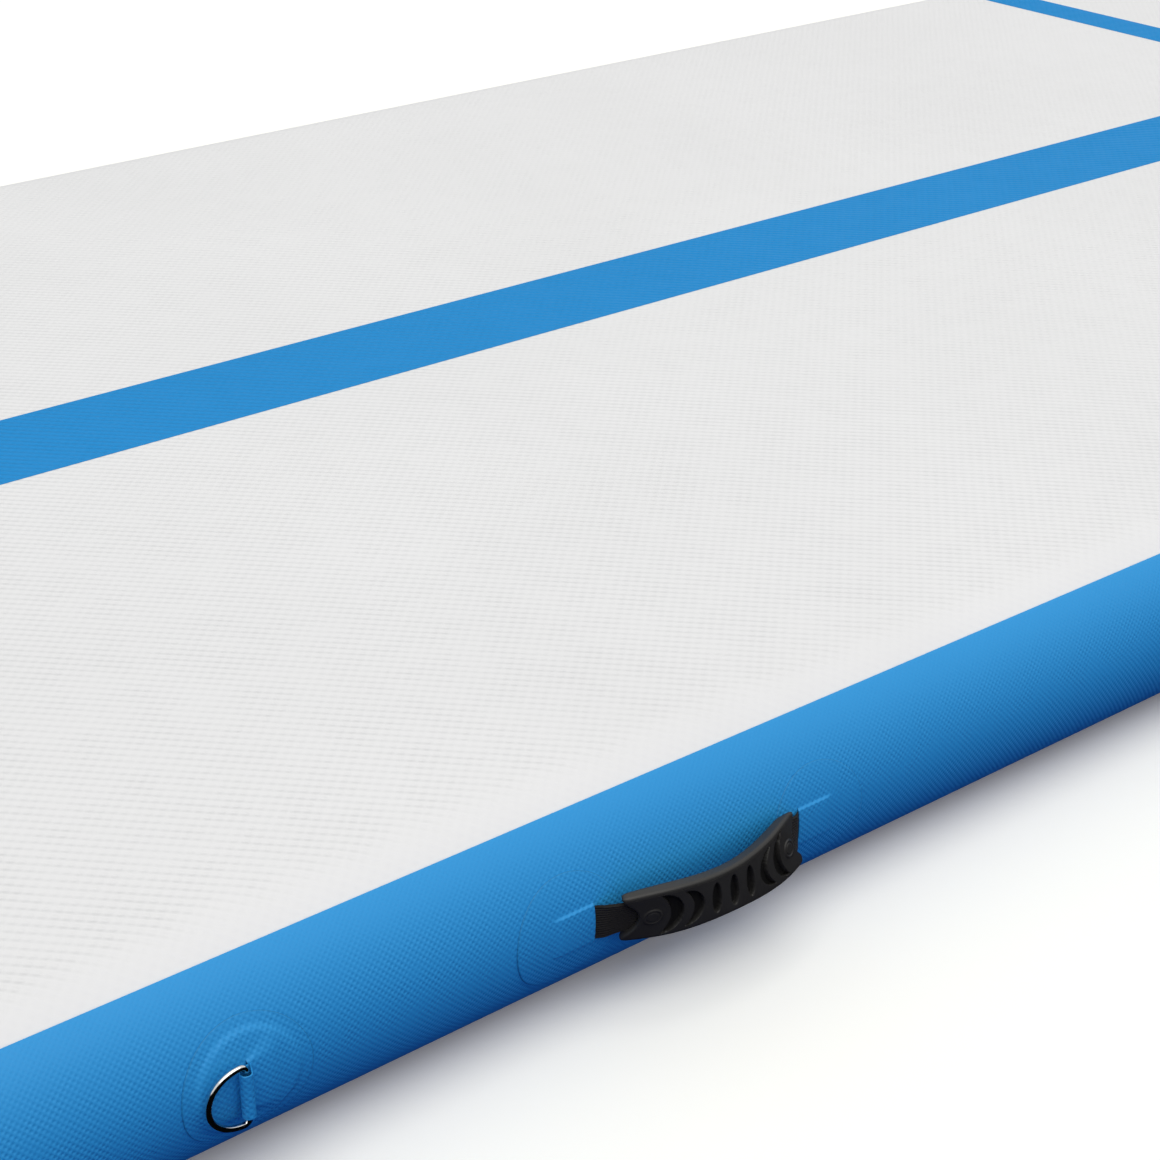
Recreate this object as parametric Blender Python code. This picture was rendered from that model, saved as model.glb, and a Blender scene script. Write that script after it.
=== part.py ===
"""Inflatable drop-stitch air track mat with carry handles, tie-down rings and an inflation valve.

Units are metres and +Z is up. The origin is the middle of the underside. +X runs along the mat,
-Y is the front long side, and the valve is in the end wall on -X.
"""
import math

import bmesh
import bpy
from mathutils import Matrix, Vector

MM = 0.001

# Mat
LENGTH = 3000 * MM
WIDTH = 1000 * MM
THICKNESS = 100 * MM
CORNER_RADIUS = 120 * MM
CORNER_STEPS = 5

# Layers of the skin
PANEL_SKIN = 1.0 * MM
WALL_SKIN = 0.9 * MM
LAYER_GAP = 0.3 * MM
SHEET_GAP = 0.1 * MM
WALL_TOP_ANGLE = math.radians(32)
WALL_STEPS = 12
LIP_STEPS = 3
LIP_OVERLAP_STEPS = 3

# Drop-stitch cloth
CLOTH_SKIN = 0.6 * MM
CLOTH_INSET = 4 * MM
YARN_ROWS = 8
YARN_COLUMNS = 3
YARN_WIDTH = 3 * MM

# Marking lines
LINE_SKIN = 0.4 * MM
CENTRE_LINE_WIDTH = 82 * MM
CROSS_LINE_WIDTH = 42 * MM
CROSS_LINE_X = 973 * MM
LINE_END_ANGLE = math.radians(30)
LINE_END_STEPS = 4

# Handles
HANDLE_X = 220 * MM
STRAP_WIDTH = 18 * MM
STRAP_SKIN = 1.6 * MM
STRAP_SLIT_X = 58.5 * MM
STRAP_TAIL = 22 * MM
STRAP_BOW = 18.0 * MM
STRAP_POWER = 2.5
STRAP_LIFT = 0.15
STRAP_HUG = 6 * MM
STRAP_STEPS = 12
TAIL_STEPS = 2
PATCH_RADIUS = 27.5 * MM
PATCH_SKIN = 0.8 * MM
PATCH_OFFSET = 13 * MM
PATCH_SLIT_HALF = 2 * MM
PATCH_BUMP_FLAT = 2.5 * MM
PATCH_BUMP_EDGE = 6 * MM
PATCH_TAIL_FLAT = 5 * MM
PATCH_TAIL_FADE = 8 * MM
PATCH_STEPS = 16
PATCH_RINGS = (0.0, 0.33, 0.62, 1.0)

# Grip
GRIP_HALF_LENGTH = 46 * MM
GRIP_HORN = 5.5 * MM
GRIP_END_WIDTH = 25 * MM
GRIP_WAIST_WIDTH = 21.5 * MM
GRIP_HALF_SKIN = 4.4 * MM
GRIP_END_HALF_SKIN = 3.0 * MM
GRIP_EDGE = 1.6 * MM
GRIP_WAIST_SHARE = 0.62
GRIP_THIN_SHARE = 0.5
GRIP_STATIONS = (0.0, 0.3, 0.56, 0.8, 1.0)
TUNNEL_GAP = 0.5 * MM
POCKET_DEPTH = 2.1 * MM
POCKET_STEPS = 6
CUT_PAST = 3 * MM
LENS_PITCH = 9.7 * MM
LENS_HALF_HEIGHT = 7.3 * MM
LENS_HALF_WIDTH = 2.5 * MM
CRESCENT_TIPS = (26.0 * MM, 35.7 * MM)
CRESCENT_HALF_HEIGHT = (8.4 * MM, 9.2 * MM)
CRESCENT_INNER = 4.4 * MM
CRESCENT_OUTER = 8.7 * MM
BOSS_X = 40 * MM
BOSS_RADIUS = 4.3 * MM
BOSS_RISE = 0.7 * MM
BOSS_ROOT = 1 * MM
BOSS_BEVEL = 0.5 * MM
BOSS_STEPS = 10

# Tie-down rings
RING_X = 450 * MM
RING_WIRE_RADIUS = 1.5 * MM
RING_HALF_HEIGHT = 13.5 * MM
RING_DEPTH = 17 * MM
RING_CORNER = 2.4 * MM
RING_BOW_STEPS = 10
RING_CORNER_STEPS = 2
BASE_DISC_RADIUS = 22 * MM
BASE_RINGS = (0.1, 0.55, 1.0)
COVER_RADIUS = 29 * MM
COVER_SHIFT = 3.5 * MM
COVER_RINGS = (0.0, 0.4, 0.86, 1.0)
LOOP_WIDTH = 21 * MM
LOOP_SKIN = 0.8 * MM
LOOP_TAIL = 13 * MM
LOOP_GAP = 0.35 * MM
LOOP_SLIT_X = 3 * MM
LOOP_SLIT_HALF = 3 * MM
LOOP_STEPS = 8
LOOP_MOUTH = math.radians(-60)
LOOP_SPAN = math.radians(280)
LOOP_THROAT_LOW = 0.6 * MM
LOOP_THROAT_HIGH = 1.2 * MM
LOOP_HUG_START = 2 * MM
LOOP_HUG = 4 * MM
COVER_BUMP_FLAT = 3.5 * MM
COVER_BUMP_EDGE = 7 * MM
COVER_TAIL_FLAT = 3 * MM
COVER_TAIL_FADE = 7 * MM

# Valve
VALVE_Y = 0 * MM
VALVE_STEPS = 16
FLANGE_RADIUS = 29.5 * MM
FLANGE_SKIN = 2.7 * MM
FLAT_MARGIN = 3.5 * MM
FLAT_FADE = 60 * MM
FLAT_STEPS = 3
BARREL_RADIUS = 20 * MM
BARREL_DEPTH = 24 * MM
BORE_RADIUS = 14 * MM
SEAT_RADIUS = 10.5 * MM
SEAT_SKIN = 3 * MM
NECK_RADIUS = 17.5 * MM
NECK_RISE = 4.4 * MM
GASKET_SKIN = 0.9 * MM
NUT_RADIUS = 27 * MM
NUT_HEIGHT = 6.2 * MM
HUB_RADIUS = 5 * MM
GUIDE_HEIGHT = 5 * MM
GUIDE_ARMS = 3
ARM_WIDTH = 2.6 * MM
ARM_ROOT = 1 * MM
ARM_STEP = 1 * MM
VALVE_BEVEL = 1 * MM
STEM_RADIUS = 2.5 * MM
BUTTON_RADIUS = 6 * MM
BUTTON_DEPTH = 2 * MM
BUTTON_HEIGHT = 3 * MM
POPPET_RADIUS = 12.6 * MM
POPPET_SKIN = 1.4 * MM
SEAL_SKIN = 2 * MM
SEAL_RIM = 0.4 * MM
SPRING_RADIUS = 4.2 * MM
SPRING_WIRE = 0.45 * MM
SPRING_TURNS = 4
SPRING_STEPS = 8
SPRING_SIDES = 4
CAP_SKIN = 2 * MM
CAP_WALL = 2.6 * MM
CAP_FLUTES = 8
CAP_FLUTE_DEPTH = 0.5 * MM
CAP_STEPS = 32
CAP_SEAL_SKIN = 0.8 * MM
CAP_FOOT_GAP = 1 * MM

# Sizes that follow from the ones above
PANEL_RADIUS = THICKNESS / 2
WALL_RADIUS = PANEL_RADIUS + LAYER_GAP + WALL_SKIN
INNER_RADIUS = PANEL_RADIUS - PANEL_SKIN - LAYER_GAP
ARC_X = LENGTH / 2 - WALL_RADIUS
ARC_Y = WIDTH / 2 - WALL_RADIUS
ARC_CORNER = CORNER_RADIUS - WALL_RADIUS
WALL_STEP_ANGLE = (math.pi - 2 * WALL_TOP_ANGLE) / WALL_STEPS
WALL_ANGLES = [WALL_TOP_ANGLE + WALL_STEP_ANGLE * k for k in range(WALL_STEPS + 1)]
LIP_ANGLES = [WALL_TOP_ANGLE * k / LIP_STEPS for k in range(LIP_STEPS)] + WALL_ANGLES[:LIP_OVERLAP_STEPS + 1]
LINING_HALF = [WALL_ANGLES[LIP_OVERLAP_STEPS - 1]] + WALL_ANGLES[LIP_OVERLAP_STEPS:WALL_STEPS // 2:2]
LINING_ANGLES = LINING_HALF + [math.pi - a for a in reversed(LINING_HALF)]
FLAT_HALF = FLANGE_RADIUS + FLAT_MARGIN
FLAT_DEPTH = WALL_RADIUS - math.sqrt(WALL_RADIUS ** 2 - FLAT_HALF ** 2)
STRAP_REST = LAYER_GAP + STRAP_SKIN / 2
PATCH_RAISE = STRAP_SKIN + 2 * LAYER_GAP + 2 * SHEET_GAP
BASE_RAISE = PATCH_SKIN + LAYER_GAP + SHEET_GAP
BAR_OUT = LAYER_GAP + BASE_RAISE + PATCH_SKIN + LAYER_GAP + LOOP_SKIN + LOOP_GAP + RING_WIRE_RADIUS
HOLE_RADIUS = BARREL_RADIUS + 2 * LAYER_GAP
FLANGE_BASE = GASKET_SKIN + 2 * LAYER_GAP
FLANGE_TOP = FLANGE_BASE + FLANGE_SKIN
NECK_TOP = FLANGE_TOP + NECK_RISE
CAP_SEAL_BASE = NECK_TOP + LAYER_GAP
CAP_INSIDE = CAP_SEAL_BASE + CAP_SEAL_SKIN + LAYER_GAP
CAP_FOOT = FLANGE_TOP + CAP_FOOT_GAP
SEAL_RADIUS = POPPET_RADIUS + SEAL_RIM

COLOURS = {
    "pvc_top_grey": ((0.77, 0.78, 0.78), 0.55, 0.0),
    "pvc_wall_blue": ((0.03, 0.27, 0.64), 0.5, 0.0),
    "print_line_blue": ((0.025, 0.27, 0.65), 0.5, 0.0),
    "polyester_cloth": ((0.72, 0.71, 0.67), 0.9, 0.0),
    "nylon_webbing": ((0.02, 0.02, 0.02), 0.85, 0.0),
    "rubber_grip": ((0.025, 0.025, 0.025), 0.6, 0.0),
    "ring_steel": ((0.62, 0.62, 0.62), 0.2, 1.0),
    "valve_plastic": ((0.05, 0.05, 0.055), 0.45, 0.0),
    "valve_rubber": ((0.02, 0.02, 0.02), 0.8, 0.0),
    "spring_steel": ((0.55, 0.55, 0.55), 0.3, 1.0),
}


def clear_scene():
    """Remove whatever the start-up file holds."""
    for item in list(bpy.data.objects):
        bpy.data.objects.remove(item, do_unlink=True)


def make_material(name):
    """Return the named material, made on first use."""
    found = bpy.data.materials.get(name)
    if found:
        return found
    colour, roughness, metallic = COLOURS[name]
    made = bpy.data.materials.new(name)
    made.use_nodes = True
    shader = made.node_tree.nodes["Principled BSDF"]
    shader.inputs["Base Color"].default_value = (*colour, 1.0)
    shader.inputs["Roughness"].default_value = roughness
    shader.inputs["Metallic"].default_value = metallic
    return made


def make_mesh(name, points, faces):
    """Return a mesh whose faces all point outwards."""
    shape = bmesh.new()
    corners = [shape.verts.new(p) for p in points]
    for face in faces:
        shape.faces.new([corners[i] for i in face])
    bmesh.ops.recalc_face_normals(shape, faces=shape.faces)
    mesh = bpy.data.meshes.new(name)
    shape.to_mesh(mesh)
    shape.free()
    return mesh


def place(name, data, material, parent=None, location=(0, 0, 0), rotation=(0, 0, 0), smooth=True):
    """Add one named object that shows the given mesh or curve."""
    item = bpy.data.objects.new(name, data)
    bpy.context.scene.collection.objects.link(item)
    item.location = location
    item.rotation_euler = rotation
    item.parent = parent
    if not data.materials:
        data.materials.append(make_material(material))
    if smooth and hasattr(data, "polygons"):
        data.polygons.foreach_set("use_smooth", [True] * len(data.polygons))
        data.set_sharp_from_angle(angle=math.radians(40))
    return item


def add_anchor(name, location, rotation=(0, 0, 0), parent=None):
    """Add an empty that other objects hang from."""
    item = bpy.data.objects.new(name, None)
    bpy.context.scene.collection.objects.link(item)
    item.location = location
    item.rotation_euler = rotation
    item.parent = parent
    item.empty_display_size = 0.02
    return item


def combine(mesh, tools, operation):
    """Return the mesh joined with, or cut by, each tool mesh."""
    base = bpy.data.objects.new("work_base", mesh)
    bpy.context.scene.collection.objects.link(base)
    helpers = []
    for tool in tools:
        helper = bpy.data.objects.new("work_tool", tool)
        bpy.context.scene.collection.objects.link(helper)
        helper.hide_render = True
        helper.display_type = "WIRE"
        step = base.modifiers.new("shape", "BOOLEAN")
        step.operation = operation
        step.solver = "EXACT"
        step.object = helper
        helpers.append(helper)
    graph = bpy.context.evaluated_depsgraph_get()
    result = bpy.data.meshes.new_from_object(base.evaluated_get(graph))
    for item in [base, *helpers]:
        bpy.data.objects.remove(item, do_unlink=True)
    return result


def turned_mesh(name, outline, steps, flute=None):
    """Return a ring made by turning a closed (radius, height) outline about local Z.

    flute(radius, angle) may change the radius around the turn.
    """
    count = len(outline)
    points = []
    for k in range(steps):
        angle = 2 * math.pi * k / steps
        for radius, height in outline:
            r = flute(radius, angle) if flute else radius
            points.append((r * math.cos(angle), r * math.sin(angle), height))
    faces = []
    for k in range(steps):
        for j in range(count):
            a, b = k * count, ((k + 1) % steps) * count
            faces.append((a + j, b + j, b + (j + 1) % count, a + (j + 1) % count))
    return make_mesh(name, points, faces)


def solid_turned_mesh(name, outline, steps):
    """Return a solid turned about local Z; the outline starts and ends on the axis."""
    ring = outline[1:-1]
    count = len(ring)
    points = [(0, 0, outline[0][1]), (0, 0, outline[-1][1])]
    for k in range(steps):
        angle = 2 * math.pi * k / steps
        points += [(r * math.cos(angle), r * math.sin(angle), z) for r, z in ring]
    faces = []
    for k in range(steps):
        a, b = 2 + k * count, 2 + ((k + 1) % steps) * count
        faces.append((0, a, b))
        faces.append((1, b + count - 1, a + count - 1))
        for j in range(count - 1):
            faces.append((a + j, a + j + 1, b + j + 1, b + j))
    return make_mesh(name, points, faces)


def box_mesh(name, low, high):
    """Return a box between two opposite corners."""
    points = [(x, y, z) for x in (low[0], high[0]) for y in (low[1], high[1]) for z in (low[2], high[2])]
    faces = [(0, 1, 3, 2), (4, 6, 7, 5), (0, 4, 5, 1), (2, 3, 7, 6), (0, 2, 6, 4), (1, 5, 7, 3)]
    return make_mesh(name, points, faces)


def ease(value):
    """Return a smooth step from 0 to 1 as the value goes from 0 to 1."""
    t = min(max(value, 0.0), 1.0)
    return t * t * (3 - 2 * t)


def plateau(value, full, zero):
    """Return 1 up to full, fading smoothly to 0 at zero."""
    return 1.0 - ease((abs(value) - full) / (zero - full))


# Skins of the mat


def flat_depth(y):
    """Return how far the end wall is drawn in beside the valve."""
    return FLAT_DEPTH * plateau(y - VALVE_Y, FLAT_HALF, FLAT_HALF + FLAT_FADE)


def corner_stations(quarter):
    """Return (x, y, normal x, normal y) around one corner of the line on which the wall arcs are centred."""
    sx, sy = ((1, 1), (-1, 1), (-1, -1), (1, -1))[quarter]
    cx = sx * (ARC_X - ARC_CORNER)
    cy = sy * (ARC_Y - ARC_CORNER)
    stations = []
    for k in range(CORNER_STEPS + 1):
        angle = math.pi / 2 * (quarter + k / CORNER_STEPS)
        nx, ny = math.cos(angle), math.sin(angle)
        stations.append((cx + ARC_CORNER * nx, cy + ARC_CORNER * ny, nx, ny))
    return stations


def valve_stations():
    """Return the stations across the flat of the end wall, where it is drawn in beside the valve."""
    steps = [1 - k / FLAT_STEPS for k in range(FLAT_STEPS + 1)]
    sides = [FLAT_HALF + FLAT_FADE * step for step in steps]
    return [(-ARC_X, VALVE_Y + y, -1.0, 0.0) for y in sides + [-y for y in reversed(sides)]]


def plan_stations():
    """Return the stations all around the mat."""
    return (corner_stations(0) + corner_stations(1) + valve_stations()
            + corner_stations(2) + corner_stations(3))


def side_stations(is_back):
    """Return the stations of one side wall, between the valve wall and the seam at the other end."""
    sign = 1 if is_back else -1
    seam = (ARC_X, sign * LAYER_GAP / 2, 1.0, 0.0)
    edge = (-ARC_X, VALVE_Y + sign * (FLAT_HALF + FLAT_FADE + LAYER_GAP), -1.0, 0.0)
    if is_back:
        return [seam] + corner_stations(0) + corner_stations(1) + [edge]
    return [edge] + corner_stations(2) + corner_stations(3) + [seam]


def skin_point(station, radius, angle):
    """Return a point of a skin; the angle is 0 on top and pi underneath."""
    x, y, nx, ny = station
    reach = radius * math.sin(angle)
    px = x + nx * reach
    py = y + ny * reach
    limit = -(LENGTH / 2 - flat_depth(py) - (WALL_RADIUS - radius))
    return (max(px, limit), py, THICKNESS / 2 + radius * math.cos(angle))


def skin_faces(section, turns, ring, round_trip):
    """Return the triangles between neighbouring stations, split alike in every layer of the skin.

    ring says that the section is closed, and round_trip that the last station meets the first.
    """
    count = len(section)
    faces = []
    for i in range(turns if round_trip else turns - 1):
        a, b = i * count, ((i + 1) % turns) * count
        for j in range(count if ring else count - 1):
            k = (j + 1) % count
            low, high = (j, k) if section[j][1] <= section[k][1] else (k, j)
            faces.append((a + low, b + low, b + high))
            faces.append((a + low, b + high, a + high))
    return faces


def band_mesh(name, outer, inner, angles, stations, round_trip):
    """Return a band along the stations through the given section angles."""
    section = [(outer, a) for a in angles] + [(inner, a) for a in reversed(angles)]
    points = [skin_point(s, r, a) for s in stations for r, a in section]
    faces = skin_faces(section, len(stations), True, round_trip)
    if not round_trip:
        count = len(section)
        for end in (0, (len(stations) - 1) * count):
            for j in range(len(angles) - 1):
                faces.append((end + j, end + j + 1, end + count - 2 - j, end + count - 1 - j))
    return make_mesh(name, points, faces)


def panel_mesh(name, is_top):
    """Return a flat panel whose edge turns over as a lip behind the wall."""
    stations = plan_stations()
    angles = LIP_ANGLES if is_top else [math.pi - a for a in LIP_ANGLES]
    inside = PANEL_RADIUS - PANEL_SKIN
    section = [(PANEL_RADIUS, a) for a in angles] + [(inside, a) for a in reversed(angles)]
    points = [skin_point(s, r, a) for s in stations for r, a in section]
    count = len(section)
    turns = len(stations)
    faces = [[i * count for i in range(turns)], [i * count + count - 1 for i in range(turns)]]
    return make_mesh(name, points, faces + skin_faces(section, turns, False, True))


def valve_hole_mesh():
    """Return a rod along X through the end wall where the valve goes."""
    outline = [(0, -THICKNESS), (HOLE_RADIUS, -THICKNESS), (HOLE_RADIUS, THICKNESS), (0, THICKNESS)]
    rod = solid_turned_mesh("valve_hole", outline, VALVE_STEPS)
    middle = Matrix.Translation((-LENGTH / 2, VALVE_Y, THICKNESS / 2))
    rod.transform(middle @ Matrix.Rotation(math.pi / 2, 4, "Y"))
    return rod


def split_lines(half, count, width):
    """Return grid lines over -half to half with both edges of each yarn."""
    lines = [-half]
    for k in range(count):
        middle = -half + 2 * half * (k + 0.5) / count
        lines += [middle - width / 2, middle + width / 2]
    return lines + [half]


def drop_stitch_mesh():
    """Return the two base cloths joined by upright yarn bundles, as one body."""
    xs = split_lines(ARC_X - ARC_CORNER - CLOTH_INSET, YARN_ROWS, YARN_WIDTH)
    ys = split_lines(ARC_Y - CLOTH_INSET, YARN_COLUMNS, YARN_WIDTH)
    edge = PANEL_SKIN + LAYER_GAP
    levels = (edge, edge + CLOTH_SKIN, THICKNESS - edge - CLOTH_SKIN, THICKNESS - edge)
    nx, ny = len(xs), len(ys)
    points, faces = [], []
    for z in levels[1:3]:
        points += [(x, y, z) for x in xs for y in ys]
    for z in (levels[0], levels[3]):
        points += [(x, y, z) for x in (xs[0], xs[-1]) for y in (ys[0], ys[-1])]

    def at(level, i, j):
        return level * nx * ny + i * ny + j

    for level in (0, 1):
        for i in range(nx - 1):
            for j in range(ny - 1):
                if i % 2 == 0 or j % 2 == 0:
                    near = (at(level, i, j), at(level, i, j + 1))
                    far = (at(level, i + 1, j), at(level, i + 1, j + 1))
                    faces.append((near[0], far[0], far[1], near[1]))
        outer = 2 * nx * ny + level * 4
        faces.append((outer, outer + 1, outer + 3, outer + 2))
        faces.append([outer, outer + 1] + [at(level, 0, j) for j in reversed(range(ny))])
        faces.append([outer + 2, outer + 3] + [at(level, nx - 1, j) for j in reversed(range(ny))])
        faces.append([outer, outer + 2] + [at(level, i, 0) for i in reversed(range(nx))])
        faces.append([outer + 1, outer + 3] + [at(level, i, ny - 1) for i in reversed(range(nx))])
    for i in range(1, nx - 1, 2):
        for j in range(1, ny - 1, 2):
            ring = [(i, j), (i + 1, j), (i + 1, j + 1), (i, j + 1)]
            for k in range(4):
                p, q = ring[k], ring[(k + 1) % 4]
                faces.append((at(0, *p), at(0, *q), at(1, *q), at(1, *p)))
    return make_mesh("drop_stitch_cloth", points, faces)


def line_mesh(name, run, across):
    """Return a marking strip; run holds (distance, height) pairs below and above, across its two edges."""
    points = []
    for edge in across:
        points += [(d, edge, z) for d, z in run]
    count = len(run)
    faces = [list(range(count)), list(range(count, 2 * count))]
    for j in range(count):
        faces.append((j, (j + 1) % count, count + (j + 1) % count, count + j))
    return make_mesh(name, points, faces)


def line_run(arc, begin):
    """Return a strip's closed outline from begin to past the arc's start, following the lip down."""
    angles = [LINE_END_ANGLE * k / LINE_END_STEPS for k in range(LINE_END_STEPS + 1)]
    sides = []
    for radius in (PANEL_RADIUS + LAYER_GAP, PANEL_RADIUS + LAYER_GAP + LINE_SKIN):
        lip = [(arc + radius * math.sin(a), THICKNESS / 2 + radius * math.cos(a)) for a in angles]
        if begin is None:
            lip = [(-d, z) for d, z in reversed(lip)] + lip
        else:
            lip = [(begin, THICKNESS / 2 + radius)] + lip
        sides.append(lip)
    return sides[0] + sides[1][::-1]


def build_mat():
    """Build the skins, the drop-stitch cloth and the marking lines."""
    place("top_panel", panel_mesh("top_panel", True), "pvc_top_grey")
    place("bottom_panel", panel_mesh("bottom_panel", False), "pvc_top_grey")
    inside = WALL_RADIUS - WALL_SKIN
    for side in ("front", "back"):
        name = f"side_wall_{side}"
        strip = band_mesh(name, WALL_RADIUS, inside, WALL_ANGLES, side_stations(side == "back"), False)
        place(name, strip, "pvc_wall_blue")
    wall = band_mesh("valve_wall", WALL_RADIUS, inside, WALL_ANGLES, valve_stations(), False)
    place("valve_wall", combine(wall, [valve_hole_mesh()], "DIFFERENCE"), "pvc_wall_blue")
    inside = INNER_RADIUS - WALL_SKIN
    lining = band_mesh("wall_lining", INNER_RADIUS, inside, LINING_ANGLES, plan_stations(), True)
    place("wall_lining", combine(lining, [valve_hole_mesh()], "DIFFERENCE"), "pvc_top_grey")
    place("drop_stitch_cloth", drop_stitch_mesh(), "polyester_cloth", smooth=False)
    half = CENTRE_LINE_WIDTH / 2
    centre = line_mesh("centre_line", line_run(ARC_X, None), (-half, half))
    place("centre_line", centre, "print_line_blue")
    run = line_run(ARC_Y, half + LAYER_GAP)
    for end, x in (("left", -CROSS_LINE_X), ("right", CROSS_LINE_X)):
        for side, turn in (("front", -math.pi / 2), ("back", math.pi / 2)):
            name = f"cross_line_{end}_{side}"
            strip = line_mesh(name, run, (-CROSS_LINE_WIDTH / 2, CROSS_LINE_WIDTH / 2))
            place(name, strip, "print_line_blue", location=(x, 0, 0), rotation=(0, 0, turn))


# Fittings on the long walls, in a local frame: x along the wall, -y outwards, origin on the equator


def wall_point(u, v, height):
    """Return the local point at u along the wall, v up its curve and a height above it."""
    angle = v / WALL_RADIUS
    radius = WALL_RADIUS + height
    return (u, -(radius * math.cos(angle) - WALL_RADIUS), radius * math.sin(angle))


def ring_sheet_mesh(name, rings, heights, skin):
    """Return a sheet on the wall from rings of (u, v) points and their heights."""
    steps = len(rings[0])
    count = len(rings)
    points = []
    for lift in (0.0, skin):
        for ring, levels in zip(rings, heights):
            points += [wall_point(u, v, h + lift) for (u, v), h in zip(ring, levels)]
    faces = []
    for layer in range(2):
        for i in range(count - 1):
            for k in range(steps):
                a = (layer * count + i) * steps
                faces.append((a + k, a + (k + 1) % steps, a + steps + (k + 1) % steps, a + steps + k))
    for i in (0, count - 1):
        low, high = i * steps, (count + i) * steps
        for k in range(steps):
            faces.append((low + k, low + (k + 1) % steps, high + (k + 1) % steps, high + k))
    return make_mesh(name, points, faces)


def slit_sheet_mesh(name, radius, shares, slit, half_width, half_length, height):
    """Return a round sheet with a slit; height(u, v, raised) gives its underside.

    The rings run from the slit's edge out to the round rim. The side towards -u is the raised one.
    """
    rings, heights = [], []
    for share in shares:
        ring, levels = [], []
        for k in range(PATCH_STEPS):
            angle = 2 * math.pi * k / PATCH_STEPS
            c, s = math.cos(angle), math.sin(angle)
            u = (slit + half_width * c) * (1 - share) + radius * c * share
            v = half_length * s * (1 - share) + radius * s * share
            ring.append((u, v))
            levels.append(height(u, v, c < 0))
        rings.append(ring)
        heights.append(levels)
    return ring_sheet_mesh(name, rings, heights, PATCH_SKIN)


def handle_patch_mesh():
    """Return the round patch over one strap tail; its slit opens towards +u."""
    half = STRAP_WIDTH / 2
    full, zero = half + PATCH_BUMP_FLAT, half + PATCH_BUMP_EDGE
    tail_end = PATCH_OFFSET - STRAP_TAIL

    def height(u, v, raised):
        bump = plateau(v, full, zero) if raised else 0.0
        bump *= 1.0 - ease((tail_end - PATCH_TAIL_FLAT - u) / PATCH_TAIL_FADE)
        return LAYER_GAP + PATCH_RAISE * bump

    slit = PATCH_OFFSET
    return slit_sheet_mesh("handle_patch", PATCH_RADIUS, PATCH_RINGS, slit, PATCH_SLIT_HALF, zero, height)


def strap_out(x):
    """Return how far the strap's middle stands off the wall at x from the handle's middle."""
    if abs(x) >= STRAP_SLIT_X:
        return STRAP_REST
    return STRAP_REST + STRAP_BOW * (1.0 - (abs(x) / STRAP_SLIT_X) ** STRAP_POWER)


def strap_frame(x):
    """Return the strap's (x, out) point and its unit normal in that plane."""
    step = 0.05 * MM
    slope = (strap_out(x + step) - strap_out(x - step)) / (2 * step)
    length = math.hypot(1.0, slope)
    return (x, strap_out(x)), (-slope / length, 1.0 / length)


def strap_point(x, v, offset):
    """Return the local point on the strap's line at x, v up and offset outwards along its normal."""
    (px, out), (nx, no) = strap_frame(x)
    rise = STRAP_LIFT * (out - STRAP_REST)
    return (px + nx * offset, -(out + no * offset), v + rise)


def strap_mesh():
    """Return the webbing from tail to tail, bowed out between the two slits."""
    half = STRAP_WIDTH / 2
    tail = [STRAP_SLIT_X + STRAP_TAIL * (1 - k / TAIL_STEPS) for k in range(TAIL_STEPS)]
    free = [STRAP_SLIT_X * math.cos(math.pi * k / STRAP_STEPS) for k in range(STRAP_STEPS + 1)]
    stations = [-x for x in tail] + [-x for x in free] + tail[::-1]
    section = [(v, n) for n in (1, -1) for v in ((-half, 0, half) if n > 0 else (half, 0, -half))]
    points = []
    for x in stations:
        hug = 1.0 - ease((STRAP_SLIT_X - abs(x)) / STRAP_HUG)
        for v, n in section:
            px, py, pz = strap_point(x, v, n * STRAP_SKIN / 2)
            points.append((px, py + hug * v * v / (2 * WALL_RADIUS), pz))
    count = len(section)
    last = (len(stations) - 1) * count
    faces = [list(range(count)), [last + j for j in range(count)]]
    for i in range(len(stations) - 1):
        a, b = i * count, (i + 1) * count
        for j in range(count):
            faces.append((a + j, a + (j + 1) % count, b + (j + 1) % count, b + j))
    return make_mesh("handle_strap", points, faces)


def grip_end(v):
    """Return the grip's half length at v: the two horns reach further than the middle."""
    return GRIP_HALF_LENGTH + GRIP_HORN * min(abs(v) / (GRIP_END_WIDTH / 2), 1.0) ** 2


def grip_half_skin(share):
    """Return half the grip's thickness at a share of its half length."""
    thin = ease((share - GRIP_THIN_SHARE) / (1 - GRIP_THIN_SHARE))
    return GRIP_HALF_SKIN + (GRIP_END_HALF_SKIN - GRIP_HALF_SKIN) * thin


def grip_section(share):
    """Return the grip's outer and tunnel outlines as (v, offset) pairs at a share of its half length."""
    blend = ease(abs(share) / GRIP_WAIST_SHARE)
    half = (GRIP_WAIST_WIDTH + (GRIP_END_WIDTH - GRIP_WAIST_WIDTH) * blend) / 2
    skin = grip_half_skin(abs(share))
    flat = half - GRIP_EDGE
    run = [-flat, -flat / 2, 0.0, flat / 2, flat]
    side = skin - GRIP_EDGE
    outer = [(v, skin) for v in run] + [(half, side), (half, -side)]
    outer += [(v, -skin) for v in reversed(run)] + [(-half, -side), (-half, side)]
    wide = STRAP_WIDTH / 2 + TUNNEL_GAP
    tall = STRAP_SKIN / 2 + TUNNEL_GAP
    run = [-wide, -wide / 2, 0.0, wide / 2, wide]
    tunnel = [(v, tall) for v in run] + [(v, -tall) for v in reversed(run)]
    return outer, tunnel


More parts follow.
